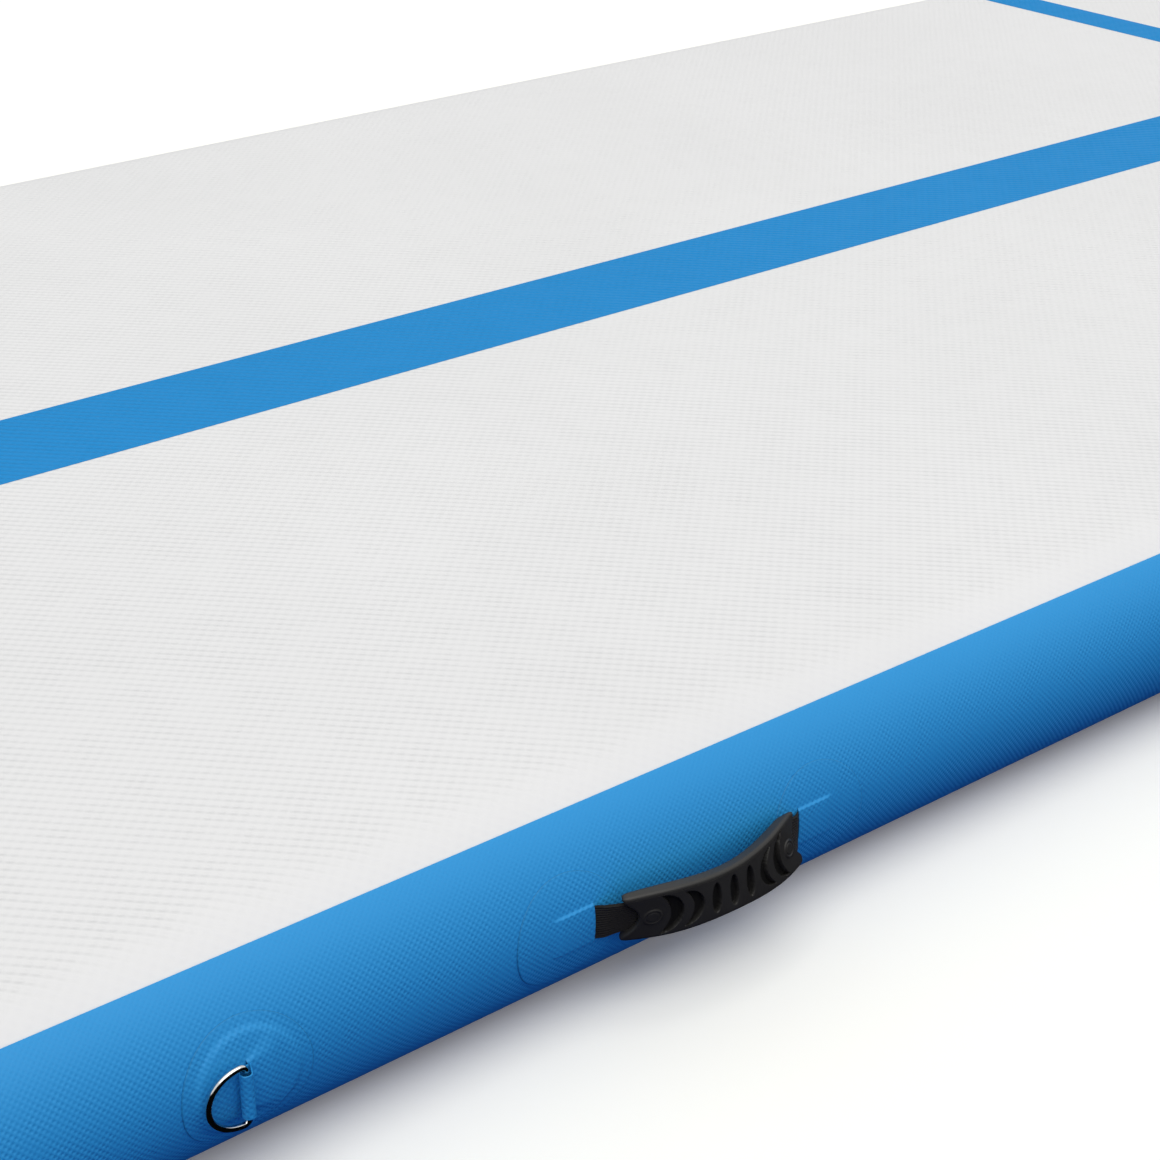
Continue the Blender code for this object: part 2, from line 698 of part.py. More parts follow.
def grip_sleeve_mesh():
    """Return the grip as a sleeve around the strap, before its pockets are cut."""
    shares = [-s for s in reversed(GRIP_STATIONS[1:])] + list(GRIP_STATIONS)
    points, starts = [], []
    for share in shares:
        outer, tunnel = grip_section(share)
        starts.append(len(points))
        points += [strap_point(share * grip_end(v), v, n) for v, n in outer + tunnel]
    around = len(outer)
    within = len(tunnel)
    faces = []
    for a, b in zip(starts, starts[1:]):
        for first, count in ((0, around), (around, within)):
            for j in range(count):
                p, q = first + j, first + (j + 1) % count
                faces.append((a + p, a + q, b + q, b + p))
    for a in (starts[0], starts[-1]):
        rims = [(k, k + 1) for k in range(4)] + [(4, 5, 6, 7)]
        rims += [(k, k + 1) for k in range(7, 11)] + [(11, 12, 13, 0)]
        for j, rim in enumerate(rims):
            faces.append([a + k for k in rim] + [a + around + (j + 1) % within, a + around + j])
    return make_mesh("handle_grip", points, faces)


def pocket_mesh(name, middle, low, high, tip, half_height):
    """Return a cutter between two bowed edges that meet at the tips; low and high are their bows."""
    edge = [k / POCKET_STEPS * 2 - 1 for k in range(POCKET_STEPS + 1)]
    outline = [(tip + low * (1 - t * t), half_height * t) for t in edge]
    outline += [(tip + high * (1 - t * t), half_height * t) for t in reversed(edge[1:-1])]
    (px, out), (nx, no) = strap_frame(middle)
    rise = STRAP_LIFT * (out - STRAP_REST)
    points = []
    for level in (GRIP_HALF_SKIN - POCKET_DEPTH, GRIP_HALF_SKIN + CUT_PAST):
        for x, v in outline:
            along = x - middle
            points.append((px + no * along + nx * level, -(out - nx * along + no * level), v + rise))
    count = len(outline)
    faces = [list(range(count)), list(range(count, 2 * count))]
    for j in range(count):
        faces.append((j, (j + 1) % count, count + (j + 1) % count, count + j))
    return make_mesh(name, points, faces)


def boss_mesh(name, x):
    """Return a low round boss on the grip's face."""
    (px, out), (nx, no) = strap_frame(x)
    rise = STRAP_LIFT * (out - STRAP_REST)
    skin = grip_half_skin(x / GRIP_HALF_LENGTH)
    foot, top = skin - BOSS_ROOT, skin + BOSS_RISE
    outline = [(0, foot), (BOSS_RADIUS, foot), (BOSS_RADIUS, top - BOSS_BEVEL)]
    outline += [(BOSS_RADIUS - BOSS_BEVEL, top), (0, top)]
    mesh = solid_turned_mesh(name, outline, BOSS_STEPS)
    turn = Vector((0, 0, 1)).rotation_difference(Vector((nx, -no, 0))).to_matrix().to_4x4()
    mesh.transform(Matrix.Translation((px, -out, rise)) @ turn)
    return mesh


def grip_mesh():
    """Return the finished grip with its pockets and bosses."""
    tools = []
    for k in (-1, 0, 1):
        x = k * LENS_PITCH
        tools.append(pocket_mesh("lens", x, -LENS_HALF_WIDTH, LENS_HALF_WIDTH, x, LENS_HALF_HEIGHT))
    for tip, tall in zip(CRESCENT_TIPS, CRESCENT_HALF_HEIGHT):
        for sign in (-1, 1):
            middle = sign * (tip - (CRESCENT_INNER + CRESCENT_OUTER) / 2)
            low, high = -sign * CRESCENT_INNER, -sign * CRESCENT_OUTER
            tools.append(pocket_mesh("crescent", middle, low, high, sign * tip, tall))
    sleeve = combine(grip_sleeve_mesh(), tools, "DIFFERENCE")
    bosses = [boss_mesh("boss", BOSS_X)]
    mirrored = boss_mesh("boss", BOSS_X)
    mirrored.transform(Matrix.Diagonal((-1, 1, 1, 1)))
    mirrored.flip_normals()
    return combine(sleeve, bosses + [mirrored], "UNION")


def base_disc_mesh():
    """Return the round reinforcing disc under a ring's cover."""
    rings, heights = [], []
    for share in BASE_RINGS:
        angles = [2 * math.pi * k / PATCH_STEPS for k in range(PATCH_STEPS)]
        radius = BASE_DISC_RADIUS * share
        rings.append([(COVER_SHIFT + radius * math.cos(a), radius * math.sin(a)) for a in angles])
        heights.append([LAYER_GAP + SHEET_GAP] * PATCH_STEPS)
    return ring_sheet_mesh("ring_base", rings, heights, PATCH_SKIN)


def ring_cover_mesh():
    """Return the round cover with a slit for the ring's loop; its raised side is towards +x."""
    half = LOOP_WIDTH / 2
    full, zero = half + COVER_BUMP_FLAT, half + COVER_BUMP_EDGE
    tail_end = LOOP_TAIL - COVER_SHIFT
    loop_raise = 2 * LOOP_SKIN + LAYER_GAP + 4 * SHEET_GAP

    def height(u, v, raised):
        under = plateau(math.hypot(u, v), (BASE_DISC_RADIUS + COVER_RADIUS) / 2, COVER_RADIUS)
        bump = plateau(v, full, zero) if raised else 0.0
        bump *= 1.0 - ease((-u - tail_end - COVER_TAIL_FLAT) / COVER_TAIL_FADE)
        return LAYER_GAP + (BASE_RAISE + SHEET_GAP) * under + loop_raise * bump

    slit = COVER_SHIFT - LOOP_SLIT_X
    mesh = slit_sheet_mesh("ring_cover", COVER_RADIUS, COVER_RINGS, slit, LOOP_SLIT_HALF, zero, height)
    mesh.transform(Matrix.Translation((COVER_SHIFT, 0, 0)) @ Matrix.Rotation(math.pi, 4, "Y"))
    return mesh


def loop_mesh():
    """Return the strap loop: a knuckle around the bar with its tail under the cover, towards +x."""
    inside = RING_WIRE_RADIUS + LOOP_GAP
    outside = inside + LOOP_SKIN
    low = LAYER_GAP + BASE_RAISE + SHEET_GAP
    high = low + 2 * LOOP_SKIN
    arc = [LOOP_MOUTH - LOOP_SPAN * k / LOOP_STEPS for k in range(LOOP_STEPS + 1)]
    outline = [(LOOP_TAIL, low), (LOOP_SLIT_X - LOOP_THROAT_LOW, low)]
    outline += [(outside * math.cos(a), BAR_OUT + outside * math.sin(a)) for a in arc]
    outline += [(LOOP_SLIT_X + LOOP_THROAT_HIGH, high), (LOOP_TAIL, high)]
    round_arc = arc + [LOOP_MOUTH + math.pi - LOOP_SPAN / 2]
    bore = [(inside * math.cos(a), BAR_OUT + inside * math.sin(a)) for a in round_arc]
    levels = [LOOP_WIDTH * (k / 3 - 0.5) for k in range(4)]
    whole = outline + bore
    points = []
    for v in levels:
        for u, h in whole:
            hug = ease((u - LOOP_HUG_START) / LOOP_HUG)
            points.append((u, -(h - hug * v * v / (2 * WALL_RADIUS)), v))
    size, first, bores = len(whole), len(outline), len(bore)
    faces = []
    for i in range(len(levels) - 1):
        a, b = i * size, (i + 1) * size
        for begin, count in ((0, first), (first, bores)):
            for j in range(count):
                p, q = begin + j, begin + (j + 1) % count
                faces.append((a + p, a + q, b + q, b + p))
    knees = len(arc)
    for a in (0, (len(levels) - 1) * size):
        for j in range(knees - 1):
            faces.append((a + 2 + j, a + 3 + j, a + first + j + 1, a + first + j))
        faces.append((a + 2, a + first, a + first + knees, a + first + knees - 1, a + 1 + knees))
        faces.append((a + 1, a + 2, a + 1 + knees, a + 2 + knees))
        faces.append((a, a + 1, a + 2 + knees, a + 3 + knees))
    return make_mesh("ring_loop", points, faces)


def ring_curve():
    """Return the D-shaped wire as a closed bevelled curve; the bar is on local Z and the bow towards -x."""
    b, r = RING_HALF_HEIGHT, RING_CORNER
    path = []
    for k in range(RING_CORNER_STEPS + 1):
        a = math.pi / 2 * k / RING_CORNER_STEPS
        path.append((-r + r * math.cos(a), b - r + r * math.sin(a)))
    for k in range(1, RING_BOW_STEPS):
        a = math.pi / 2 - math.pi * k / RING_BOW_STEPS
        path.append((-r - (RING_DEPTH - r) * math.cos(a), b * math.sin(a)))
    for k in range(RING_CORNER_STEPS + 1):
        a = -math.pi / 2 + math.pi / 2 * k / RING_CORNER_STEPS
        path.append((-r + r * math.cos(a), -b + r + r * math.sin(a)))
    curve = bpy.data.curves.new("tie_ring", "CURVE")
    curve.dimensions = "3D"
    curve.bevel_depth = RING_WIRE_RADIUS
    curve.bevel_resolution = 2
    curve.resolution_u = 1
    curve.render_resolution_u = 1
    line = curve.splines.new("POLY")
    line.points.add(len(path) - 1)
    for point, (x, z) in zip(line.points, path):
        point.co = (x, 0, z, 1)
    line.use_cyclic_u = True
    line.use_smooth = True
    return curve


def build_handles():
    """Build the four carry handles, two on each long wall."""
    patch = handle_patch_mesh()
    strap = strap_mesh()
    grip = grip_mesh()
    offset = STRAP_SLIT_X + PATCH_OFFSET
    for side, sign in (("front", -1), ("back", 1)):
        turn = 0.0 if sign < 0 else math.pi
        for end, x in (("left", -HANDLE_X), ("right", HANDLE_X)):
            name = f"handle_{side}_{end}"
            anchor = add_anchor(name, (x, sign * WIDTH / 2, THICKNESS / 2), (0, 0, turn))
            for label, at, flip in (("a", -offset, 0.0), ("b", offset, math.pi)):
                place(f"{name}_patch_{label}", patch, "pvc_wall_blue", anchor, (at, 0, 0), (0, flip, 0))
            place(f"{name}_strap", strap, "nylon_webbing", anchor)
            place(f"{name}_grip", grip, "rubber_grip", anchor)


def build_rings():
    """Build the four tie-down rings, two on each long wall, bows towards the nearer end."""
    base = base_disc_mesh()
    cover = ring_cover_mesh()
    loop = loop_mesh()
    wire = ring_curve()
    for side, sign in (("front", -1), ("back", 1)):
        turn = 0.0 if sign < 0 else math.pi
        for end, x in (("left", -RING_X), ("right", RING_X)):
            name = f"ring_{side}_{end}"
            flip = 0.0 if x * sign > 0 else math.pi
            anchor = add_anchor(name, (x, sign * WIDTH / 2, THICKNESS / 2), (0, flip, turn))
            place(f"{name}_base", base, "pvc_wall_blue", anchor)
            place(f"{name}_cover", cover, "pvc_wall_blue", anchor)
            place(f"{name}_loop", loop, "pvc_wall_blue", anchor)
            place(f"{name}_wire", wire, "ring_steel", anchor, (0, -BAR_OUT, 0))


# Valve, in a local frame: z outwards from the flat of the end wall


def valve_body_mesh():
    """Return the flange, neck and barrel, with the seat at the barrel's foot."""
    outline = [(BORE_RADIUS, NECK_TOP), (NECK_RADIUS, NECK_TOP), (NECK_RADIUS, FLANGE_TOP)]
    outline += [(FLANGE_RADIUS - VALVE_BEVEL, FLANGE_TOP), (FLANGE_RADIUS, FLANGE_TOP - VALVE_BEVEL)]
    outline += [(FLANGE_RADIUS, FLANGE_BASE), (BARREL_RADIUS, FLANGE_BASE), (BARREL_RADIUS, -BARREL_DEPTH)]
    outline += [(SEAT_RADIUS, -BARREL_DEPTH), (SEAT_RADIUS, SEAT_SKIN - BARREL_DEPTH)]
    outline += [(BORE_RADIUS, SEAT_SKIN - BARREL_DEPTH)]
    return turned_mesh("valve_body", outline, VALVE_STEPS)


def guide_mesh():
    """Return the three-armed guide for the stem, which stands on the seat inside the barrel."""
    low = SEAT_SKIN - BARREL_DEPTH + LAYER_GAP
    high = low + GUIDE_HEIGHT
    hole = STEM_RADIUS + LAYER_GAP
    reach = BORE_RADIUS * math.cos(math.pi / VALVE_STEPS) - LAYER_GAP
    hub = washer_mesh("guide_hub", hole, HUB_RADIUS, low, high)
    root = (HUB_RADIUS - ARM_ROOT, -ARM_WIDTH / 2, low)
    tip = (reach, ARM_WIDTH / 2, high - ARM_STEP)
    arms = []
    for k in range(GUIDE_ARMS):
        arm = box_mesh("guide_arm", root, tip)
        arm.transform(Matrix.Rotation(2 * math.pi * k / GUIDE_ARMS, 4, "Z"))
        arms.append(arm)
    return combine(hub, arms, "UNION")


def stem_mesh():
    """Return the push stem with its button and the poppet plate."""
    seat = -BARREL_DEPTH - LAYER_GAP - SEAL_SKIN - LAYER_GAP
    top = -BUTTON_DEPTH
    outline = [(0, seat - POPPET_SKIN), (POPPET_RADIUS, seat - POPPET_SKIN), (POPPET_RADIUS, seat)]
    outline += [(STEM_RADIUS, seat), (STEM_RADIUS, top - BUTTON_HEIGHT), (BUTTON_RADIUS, top - BUTTON_HEIGHT)]
    outline += [(BUTTON_RADIUS, top - VALVE_BEVEL), (BUTTON_RADIUS - VALVE_BEVEL, top), (0, top)]
    return solid_turned_mesh("valve_stem", outline, VALVE_STEPS)


def spring_mesh():
    """Return the return spring as a bevelled helix around the stem."""
    low = SEAT_SKIN - BARREL_DEPTH + GUIDE_HEIGHT + 2 * LAYER_GAP + SPRING_WIRE
    high = -BUTTON_DEPTH - BUTTON_HEIGHT - LAYER_GAP - SPRING_WIRE
    count = SPRING_TURNS * SPRING_STEPS
    points, faces = [], []
    for k in range(count + 1):
        share = k / count
        angle = 2 * math.pi * SPRING_TURNS * share
        height = low + (high - low) * share
        for j in range(SPRING_SIDES):
            turn = 2 * math.pi * j / SPRING_SIDES
            r = SPRING_RADIUS + SPRING_WIRE * math.cos(turn)
            points.append((r * math.cos(angle), r * math.sin(angle), height + SPRING_WIRE * math.sin(turn)))
    for k in range(count):
        a, b = k * SPRING_SIDES, (k + 1) * SPRING_SIDES
        for j in range(SPRING_SIDES):
            faces.append((a + j, a + (j + 1) % SPRING_SIDES, b + (j + 1) % SPRING_SIDES, b + j))
    faces.append(list(range(SPRING_SIDES)))
    faces.append([count * SPRING_SIDES + j for j in range(SPRING_SIDES)])
    return make_mesh("valve_spring", points, faces)


def cap_mesh():
    """Return the screw cap, a fluted lid over the valve's neck."""
    inside = NECK_RADIUS + 2 * LAYER_GAP
    outside = inside + CAP_WALL
    top = CAP_INSIDE + CAP_SKIN

    def flute(radius, angle):
        share = 1.0 if radius > inside else 0.0
        return radius - share * CAP_FLUTE_DEPTH * (1 - math.cos(CAP_FLUTES * angle)) / 2

    ring = [(outside - VALVE_BEVEL, top), (outside, top - VALVE_BEVEL), (outside, CAP_FOOT)]
    ring += [(inside, CAP_FOOT), (inside, CAP_INSIDE)]
    count = len(ring)
    points = [(0, 0, top), (0, 0, CAP_INSIDE)]
    faces = []
    for k in range(CAP_STEPS):
        angle = 2 * math.pi * k / CAP_STEPS
        for radius, height in ring:
            r = flute(radius, angle)
            points.append((r * math.cos(angle), r * math.sin(angle), height))
    for k in range(CAP_STEPS):
        a, b = 2 + k * count, 2 + ((k + 1) % CAP_STEPS) * count
        faces.append((0, a, b))
        faces.append((1, b + count - 1, a + count - 1))
        for j in range(count - 1):
            faces.append((a + j, a + j + 1, b + j + 1, b + j))
    return make_mesh("valve_cap", points, faces)


def washer_mesh(name, inner, outer, low, high):
    """Return a flat ring."""
    return turned_mesh(name, [(inner, low), (outer, low), (outer, high), (inner, high)], VALVE_STEPS)


def build_valve():
    """Build the inflation valve in the end wall."""
    anchor = add_anchor("valve", (FLAT_DEPTH - LENGTH / 2, VALVE_Y, THICKNESS / 2), (0, -math.pi / 2, 0))
    place("valve_body", valve_body_mesh(), "valve_plastic", anchor)
    place("valve_guide", guide_mesh(), "valve_plastic", anchor)
    rim = FLANGE_RADIUS - VALVE_BEVEL
    gasket = washer_mesh("valve_gasket", HOLE_RADIUS, rim, LAYER_GAP, LAYER_GAP + GASKET_SKIN)
    place("valve_gasket", gasket, "valve_rubber", anchor)
    behind = -(WALL_RADIUS - INNER_RADIUS + WALL_SKIN) - LAYER_GAP
    nut = washer_mesh("valve_nut", BARREL_RADIUS + LAYER_GAP, NUT_RADIUS, behind - NUT_HEIGHT, behind)
    place("valve_nut", nut, "valve_plastic", anchor)
    place("valve_stem", stem_mesh(), "valve_plastic", anchor)
    seat = -BARREL_DEPTH - LAYER_GAP
    seal = washer_mesh("valve_seal", STEM_RADIUS + LAYER_GAP, SEAL_RADIUS, seat - SEAL_SKIN, seat)
    place("valve_seal", seal, "valve_rubber", anchor)
    place("valve_spring", spring_mesh(), "spring_steel", anchor)
    ring = washer_mesh("valve_cap_seal", BORE_RADIUS + 2 * LAYER_GAP, NECK_RADIUS - LAYER_GAP, CAP_SEAL_BASE,
                       CAP_SEAL_BASE + CAP_SEAL_SKIN)
    place("valve_cap_seal", ring, "valve_rubber", anchor)
    place("valve_cap", cap_mesh(), "valve_plastic", anchor)


def main():
    """Build the whole mat."""
    clear_scene()
    build_mat()
    build_handles()
    build_rings()
    build_valve()


main()
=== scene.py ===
"""Dressed model of an inflatable air track mat with carry handles, tie-down rings and an inflation valve.

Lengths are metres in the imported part's frame: +X runs along the mat away from its valve, -Y is the
front wall and +Z is up. Every new piece is a numpy surface with its place in its mesh.
"""

import logging
import math
from dataclasses import dataclass, replace
from enum import Enum
from functools import partial

import bmesh
import bpy
import numpy as np
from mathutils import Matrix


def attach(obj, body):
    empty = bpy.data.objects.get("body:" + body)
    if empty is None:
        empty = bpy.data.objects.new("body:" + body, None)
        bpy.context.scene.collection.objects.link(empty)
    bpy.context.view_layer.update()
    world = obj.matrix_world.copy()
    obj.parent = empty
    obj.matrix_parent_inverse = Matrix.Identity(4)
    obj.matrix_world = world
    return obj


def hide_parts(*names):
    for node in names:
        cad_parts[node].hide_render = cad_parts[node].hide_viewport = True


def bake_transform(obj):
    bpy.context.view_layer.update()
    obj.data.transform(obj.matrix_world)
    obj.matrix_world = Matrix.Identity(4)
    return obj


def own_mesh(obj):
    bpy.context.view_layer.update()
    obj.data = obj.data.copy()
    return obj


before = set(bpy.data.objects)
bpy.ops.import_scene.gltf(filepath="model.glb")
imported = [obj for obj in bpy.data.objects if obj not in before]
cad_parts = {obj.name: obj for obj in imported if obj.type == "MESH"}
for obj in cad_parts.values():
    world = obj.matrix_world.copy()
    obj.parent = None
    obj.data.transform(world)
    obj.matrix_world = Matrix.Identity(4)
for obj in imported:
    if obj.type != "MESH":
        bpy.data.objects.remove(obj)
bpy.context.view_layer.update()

MM = 0.001
MERGE = 0.002 * MM  # points closer than this become one
SHARP = 40.0  # degrees past which an edge is shaded hard
PATCH_SHARP, FITTING_SHARP, VALVE_SHARP = 50.0, 60.0, 35.0  # the same for those pieces
NOISE_LOW, NOISE_HIGH = 0.3, 0.7  # most values of a noise lie between these
HANDLE_X = 220 * MM  # from the middle of the mat
RING_X = 450 * MM
LOG = logging.getLogger("air_track")

Array = np.ndarray
Tree = bpy.types.NodeTree
Node = bpy.types.Node
Socket = bpy.types.NodeSocket


# Numbers and colours


def linear(hex_colour: str, gain: float = 1.0) -> tuple[float, float, float, float]:
    """Turn an sRGB hex colour into linear light.

    Args:
        hex_colour: colour such as "#2B8DD3".
        gain: factor on the linear value.

    Returns:
        Linear red, green and blue with an alpha of 1.
    """
    parts = np.array([int(hex_colour[k:k + 2], 16) / 255 for k in (1, 3, 5)])
    light = np.where(parts <= 0.04045, parts / 12.92, ((parts + 0.055) / 1.055) ** 2.4)
    return (*(light * gain).tolist(), 1.0)


def ease(value: Array | float) -> Array:
    """Return the smooth step 3t^2 - 2t^3 of a value held between 0 and 1."""
    t = np.clip(value, 0.0, 1.0)
    return t * t * (3.0 - 2.0 * t)


def plateau(value: Array, full: float, zero: float) -> Array:
    """Return 1 where the value's size is under full, easing to 0 at zero."""
    return 1.0 - ease((np.abs(value) - full) / (zero - full))


def bullnose(inset: Array, width: float) -> Array:
    """Return the round rise sqrt(1 - (1 - d/w)^2) at a distance d inside an edge, which is 1 past w."""
    return np.sqrt(1 - (1 - np.clip(inset / width, 0, 1)) ** 2)


def stacked(*parts: Array | float) -> Array:
    """Return arrays of one broadcast shape side by side along a new last axis."""
    return np.stack(np.broadcast_arrays(*parts), axis=-1)


def unit(vectors: Array) -> Array:
    """Return vectors with their length made 1."""
    return vectors / np.linalg.norm(vectors, axis=-1, keepdims=True)


def travelled(points: Array) -> Array:
    """Return the distance run along a line up to each of its points."""
    return np.concatenate([[0.0], np.cumsum(np.linalg.norm(np.diff(points, axis=0), axis=1))])


def spaced(*runs: tuple[float, float, int]) -> Array:
    """Return the sorted values of several evenly divided runs.

    Args:
        runs: start, end and number of steps of each run.

    Returns:
        Ascending values, each once.
    """
    values = np.concatenate([np.linspace(a, b, n + 1) for a, b, n in runs])
    return np.unique(values.round(9))


def edged(half: float, edge: float, steps: int, edge_steps: int = 4) -> Array:
    """Return places across a strip of a half width, closer together within an edge of either side."""
    inner = half - edge
    return spaced((-half, -inner, edge_steps), (-inner, inner, steps), (inner, half, edge_steps))


def placement(location: tuple[float, float, float], turn: float = 0.0, flip: float = 0.0) -> Array:
    """Return the matrix that flips about Y, turns about Z and then moves.

    Args:
        location: where the local origin goes.
        turn: angle about Z in radians.
        flip: angle about Y in radians, applied first.

    Returns:
        A 4 by 4 matrix.
    """
    c, s, d, t = math.cos(turn), math.sin(turn), math.cos(flip), math.sin(flip)
    matrix = np.eye(4)
    matrix[:3, :3] = np.array([[c, -s, 0], [s, c, 0], [0, 0, 1]]) @ np.array([[d, 0, t], [0, 1, 0], [-t, 0, d]])
    matrix[:3, 3] = location
    return matrix


# Surfaces


@dataclass
class Surface:
    """Grids of points with surface coordinates in metres, gathered into one mesh.

    Attributes:
        points: vertex places, one row each.
        coords: surface coordinates along and across and the share of painted shade, one row per vertex.
        faces: four vertex numbers a face.
    """

    points: Array
    coords: Array
    faces: Array

    @classmethod
    def grid(cls, points: Array, coords: Array | None = None) -> "Surface":
        """Join neighbouring rows and columns of a grid with quads.

        Args:
            points: array of rows, columns and 3.
            coords: array of rows, columns and 2 or 3, or None where no pattern follows the surface.

        Returns:
            The surface; equal points along a seam or at a pole are merged when it is built.
        """
        rows, columns = points.shape[:2]
        if coords is None:
            coords = points[..., :2]
        if coords.shape[-1] == 2:
            coords = stacked(coords[..., 0], coords[..., 1], 0.0)
        first = np.arange(rows - 1)[:, None] * columns + np.arange(columns - 1)
        faces = stacked(first, first + 1, first + columns + 1, first + columns)
        return cls(points.reshape(-1, 3), coords.reshape(-1, 3), faces.reshape(-1, 4))

    @classmethod
    def shell(cls, top: Array, under: Array, coords: Array) -> "Surface":
        """Close a sheet between its upper and lower grids.

        Each row runs over the top and back underneath. A row of middle points is added at both
        ends, where the top and the underside meet.

        Args:
            top: upper grid of rows, columns and 3.
            under: lower grid of the same shape.
            coords: surface coordinates of rows, columns and 2 or 3.

        Returns:
            The closed surface.
        """
        middle = (top + under) / 2
        around, closing, marks = [np.concatenate([a, b[:, ::-1], a[:, :1]], axis=1)
                                  for a, b in ((top, under), (middle, middle), (coords, coords))]
        points = np.concatenate([closing[:1], around, closing[-1:]])
        return cls.grid(points, np.concatenate([marks[:1], marks, marks[-1:]]))

    def __add__(self, other: "Surface") -> "Surface":
        """Return both surfaces as one.

        Args:
            other: the surface whose points and faces are added.

        Returns:
            The joined surface.
        """
        faces = np.concatenate([self.faces, other.faces + len(self.points)])
        return Surface(np.concatenate([self.points, other.points]),
                       np.concatenate([self.coords, other.coords]), faces)

    def moved(self, matrix: Array) -> "Surface":
        """Return the surface with a 4 by 4 matrix applied to its points."""
        return Surface(self.points @ matrix[:3, :3].T + matrix[:3, 3], self.coords, self.faces)

    def build(self, name: str, sharp: float = SHARP) -> bpy.types.Object:
        """Put the surface into a mesh object.

        Args:
            name: object name.
            sharp: angle in degrees past which an edge is shaded hard.

        Returns:
            The object, at the origin, with its faces pointing outwards.
        """
        mesh = bpy.data.meshes.new(name)
        mesh.vertices.add(len(self.points))
        mesh.vertices.foreach_set("co", self.points.astype(np.float32).ravel())
        mesh.loops.add(self.faces.size)
        mesh.loops.foreach_set("vertex_index", self.faces.astype(np.int32).ravel())
        mesh.polygons.add(len(self.faces))
        mesh.polygons.foreach_set("loop_start", np.arange(len(self.faces), dtype=np.int32) * 4)
        mesh.update(calc_edges=True)
        layer = mesh.uv_layers.new(name="surface")
        layer.data.foreach_set("uv", self.coords[self.faces.ravel(), :2].astype(np.float32).ravel())
        # the share of painted shade goes to a vertex attribute
        if self.coords[:, 2].any():
            tone = mesh.attributes.new("painted_shade_share", "FLOAT", "POINT")
            tone.data.foreach_set("value", self.coords[:, 2].astype(np.float32))
        shape = bmesh.new()
        shape.from_mesh(mesh)
        bmesh.ops.remove_doubles(shape, verts=shape.verts, dist=MERGE)
        bmesh.ops.recalc_face_normals(shape, faces=shape.faces)
        shape.to_mesh(mesh)
        shape.free()
        mesh.polygons.foreach_set("use_smooth", np.ones(len(mesh.polygons), dtype=bool))
        mesh.set_sharp_from_angle(angle=math.radians(sharp))
        item = bpy.data.objects.new(name, mesh)
        bpy.context.scene.collection.objects.link(item)
        return item


def rounded(outline: list[tuple[float, float]], radius: float, steps: int = 4, most: float = 0.45) -> Array:
    """Round the corners of a closed outline.

    Each corner C becomes the curve (1-t)^2 A + 2t(1-t) C + t^2 B, where A and B lie on its two sides
    at the radius, or at under half of a shorter side.

    Args:
        outline: corner points in order.
        radius: distance from a corner at which the curve starts.
        steps: divisions of a curve.
        most: largest share of a side that a curve takes.

    Returns:
        Points of the closed outline, the first one repeated at the end.
    """
    corner = np.array(outline, dtype=float)
    sides = [np.roll(corner, k, axis=0) - corner for k in (1, -1)]
    lengths = [np.linalg.norm(side, axis=1, keepdims=True) for side in sides]
    ends = [corner + side * np.minimum(radius / size, most) for side, size in zip(sides, lengths)]
    t = np.linspace(0, 1, steps + 1)[None, :, None]
    curve = (1 - t) ** 2 * ends[0][:, None] + 2 * t * (1 - t) * corner[:, None] + t ** 2 * ends[1][:, None]
    points = curve.reshape(-1, 2)
    return np.concatenate([points, points[:1]])


def turned(profile: Array, steps: int = 96, flutes: int = 0, flute_depth: float = 0.0,
           flute_from: float = 0.0) -> Surface:
    """Turn a closed (radius, height) profile about local Z.

    The radius outside flute_from is cut by flute_depth (1 - cos(flutes angle)) / 2.

    Args:
        profile: points of the closed profile, the first repeated at the end.
        steps: divisions around.
        flutes: number of flutes around, or 0.
        flute_depth: depth of a flute.
        flute_from: radius outside which the flutes are cut.

    Returns:
        The closed surface in the valve's local frame.
    """
    angle = np.linspace(0, 2 * np.pi, steps + 1)[None, :]
    cut = flute_depth * (1 - np.cos(flutes * angle)) / 2
    radius = np.where(profile[:, :1] > flute_from, profile[:, :1] - cut, profile[:, :1])
    return Surface.grid(stacked(radius * np.cos(angle), radius * np.sin(angle), profile[:, 1:]))


# Finishes


def feed(tree: Tree, node: Node, inputs: dict) -> None:
    """Link each of a node's inputs that is given a socket, and set each that is given a value.

    Args:
        tree: node tree that the node is in.
        node: node to feed.
        inputs: value or output socket for each input, by name or number.
    """
    for key, value in inputs.items():
        if isinstance(value, Socket):
            tree.links.new(value, node.inputs[key])
        else:
            node.inputs[key].default_value = value


def add_node(tree: Tree, kind: str, inputs: dict | None = None, output: int | str = 0, **settings) -> Socket:
    """Add one node with its settings and links.

    Args:
        tree: node tree to add to.
        kind: the node's type name after "ShaderNode".
        inputs: value or output socket for each input, by name or number.
        output: the output that is wanted, by name or number.
        settings: attributes of the node.

    Returns:
        That output of the new node.
    """
    made = tree.nodes.new(f"ShaderNode{kind}")
    for key, value in settings.items():
        setattr(made, key, value)
    feed(tree, made, inputs or {})
    return made.outputs[output]


def blank_material(name: str) -> tuple[bpy.types.Material, Tree, Node]:
    """Return a new material with nodes.

    Args:
        name: the material's name.

    Returns:
        The material, its node tree and its shader.
    """
    made = bpy.data.materials.new(name)
    made.use_nodes = True
    return made, made.node_tree, made.node_tree.nodes["Principled BSDF"]


class Source(Enum):
    """What a pattern follows."""

    PLACE = "the piece's place in the frame"
    SURFACE = "the piece's own surface coordinates"


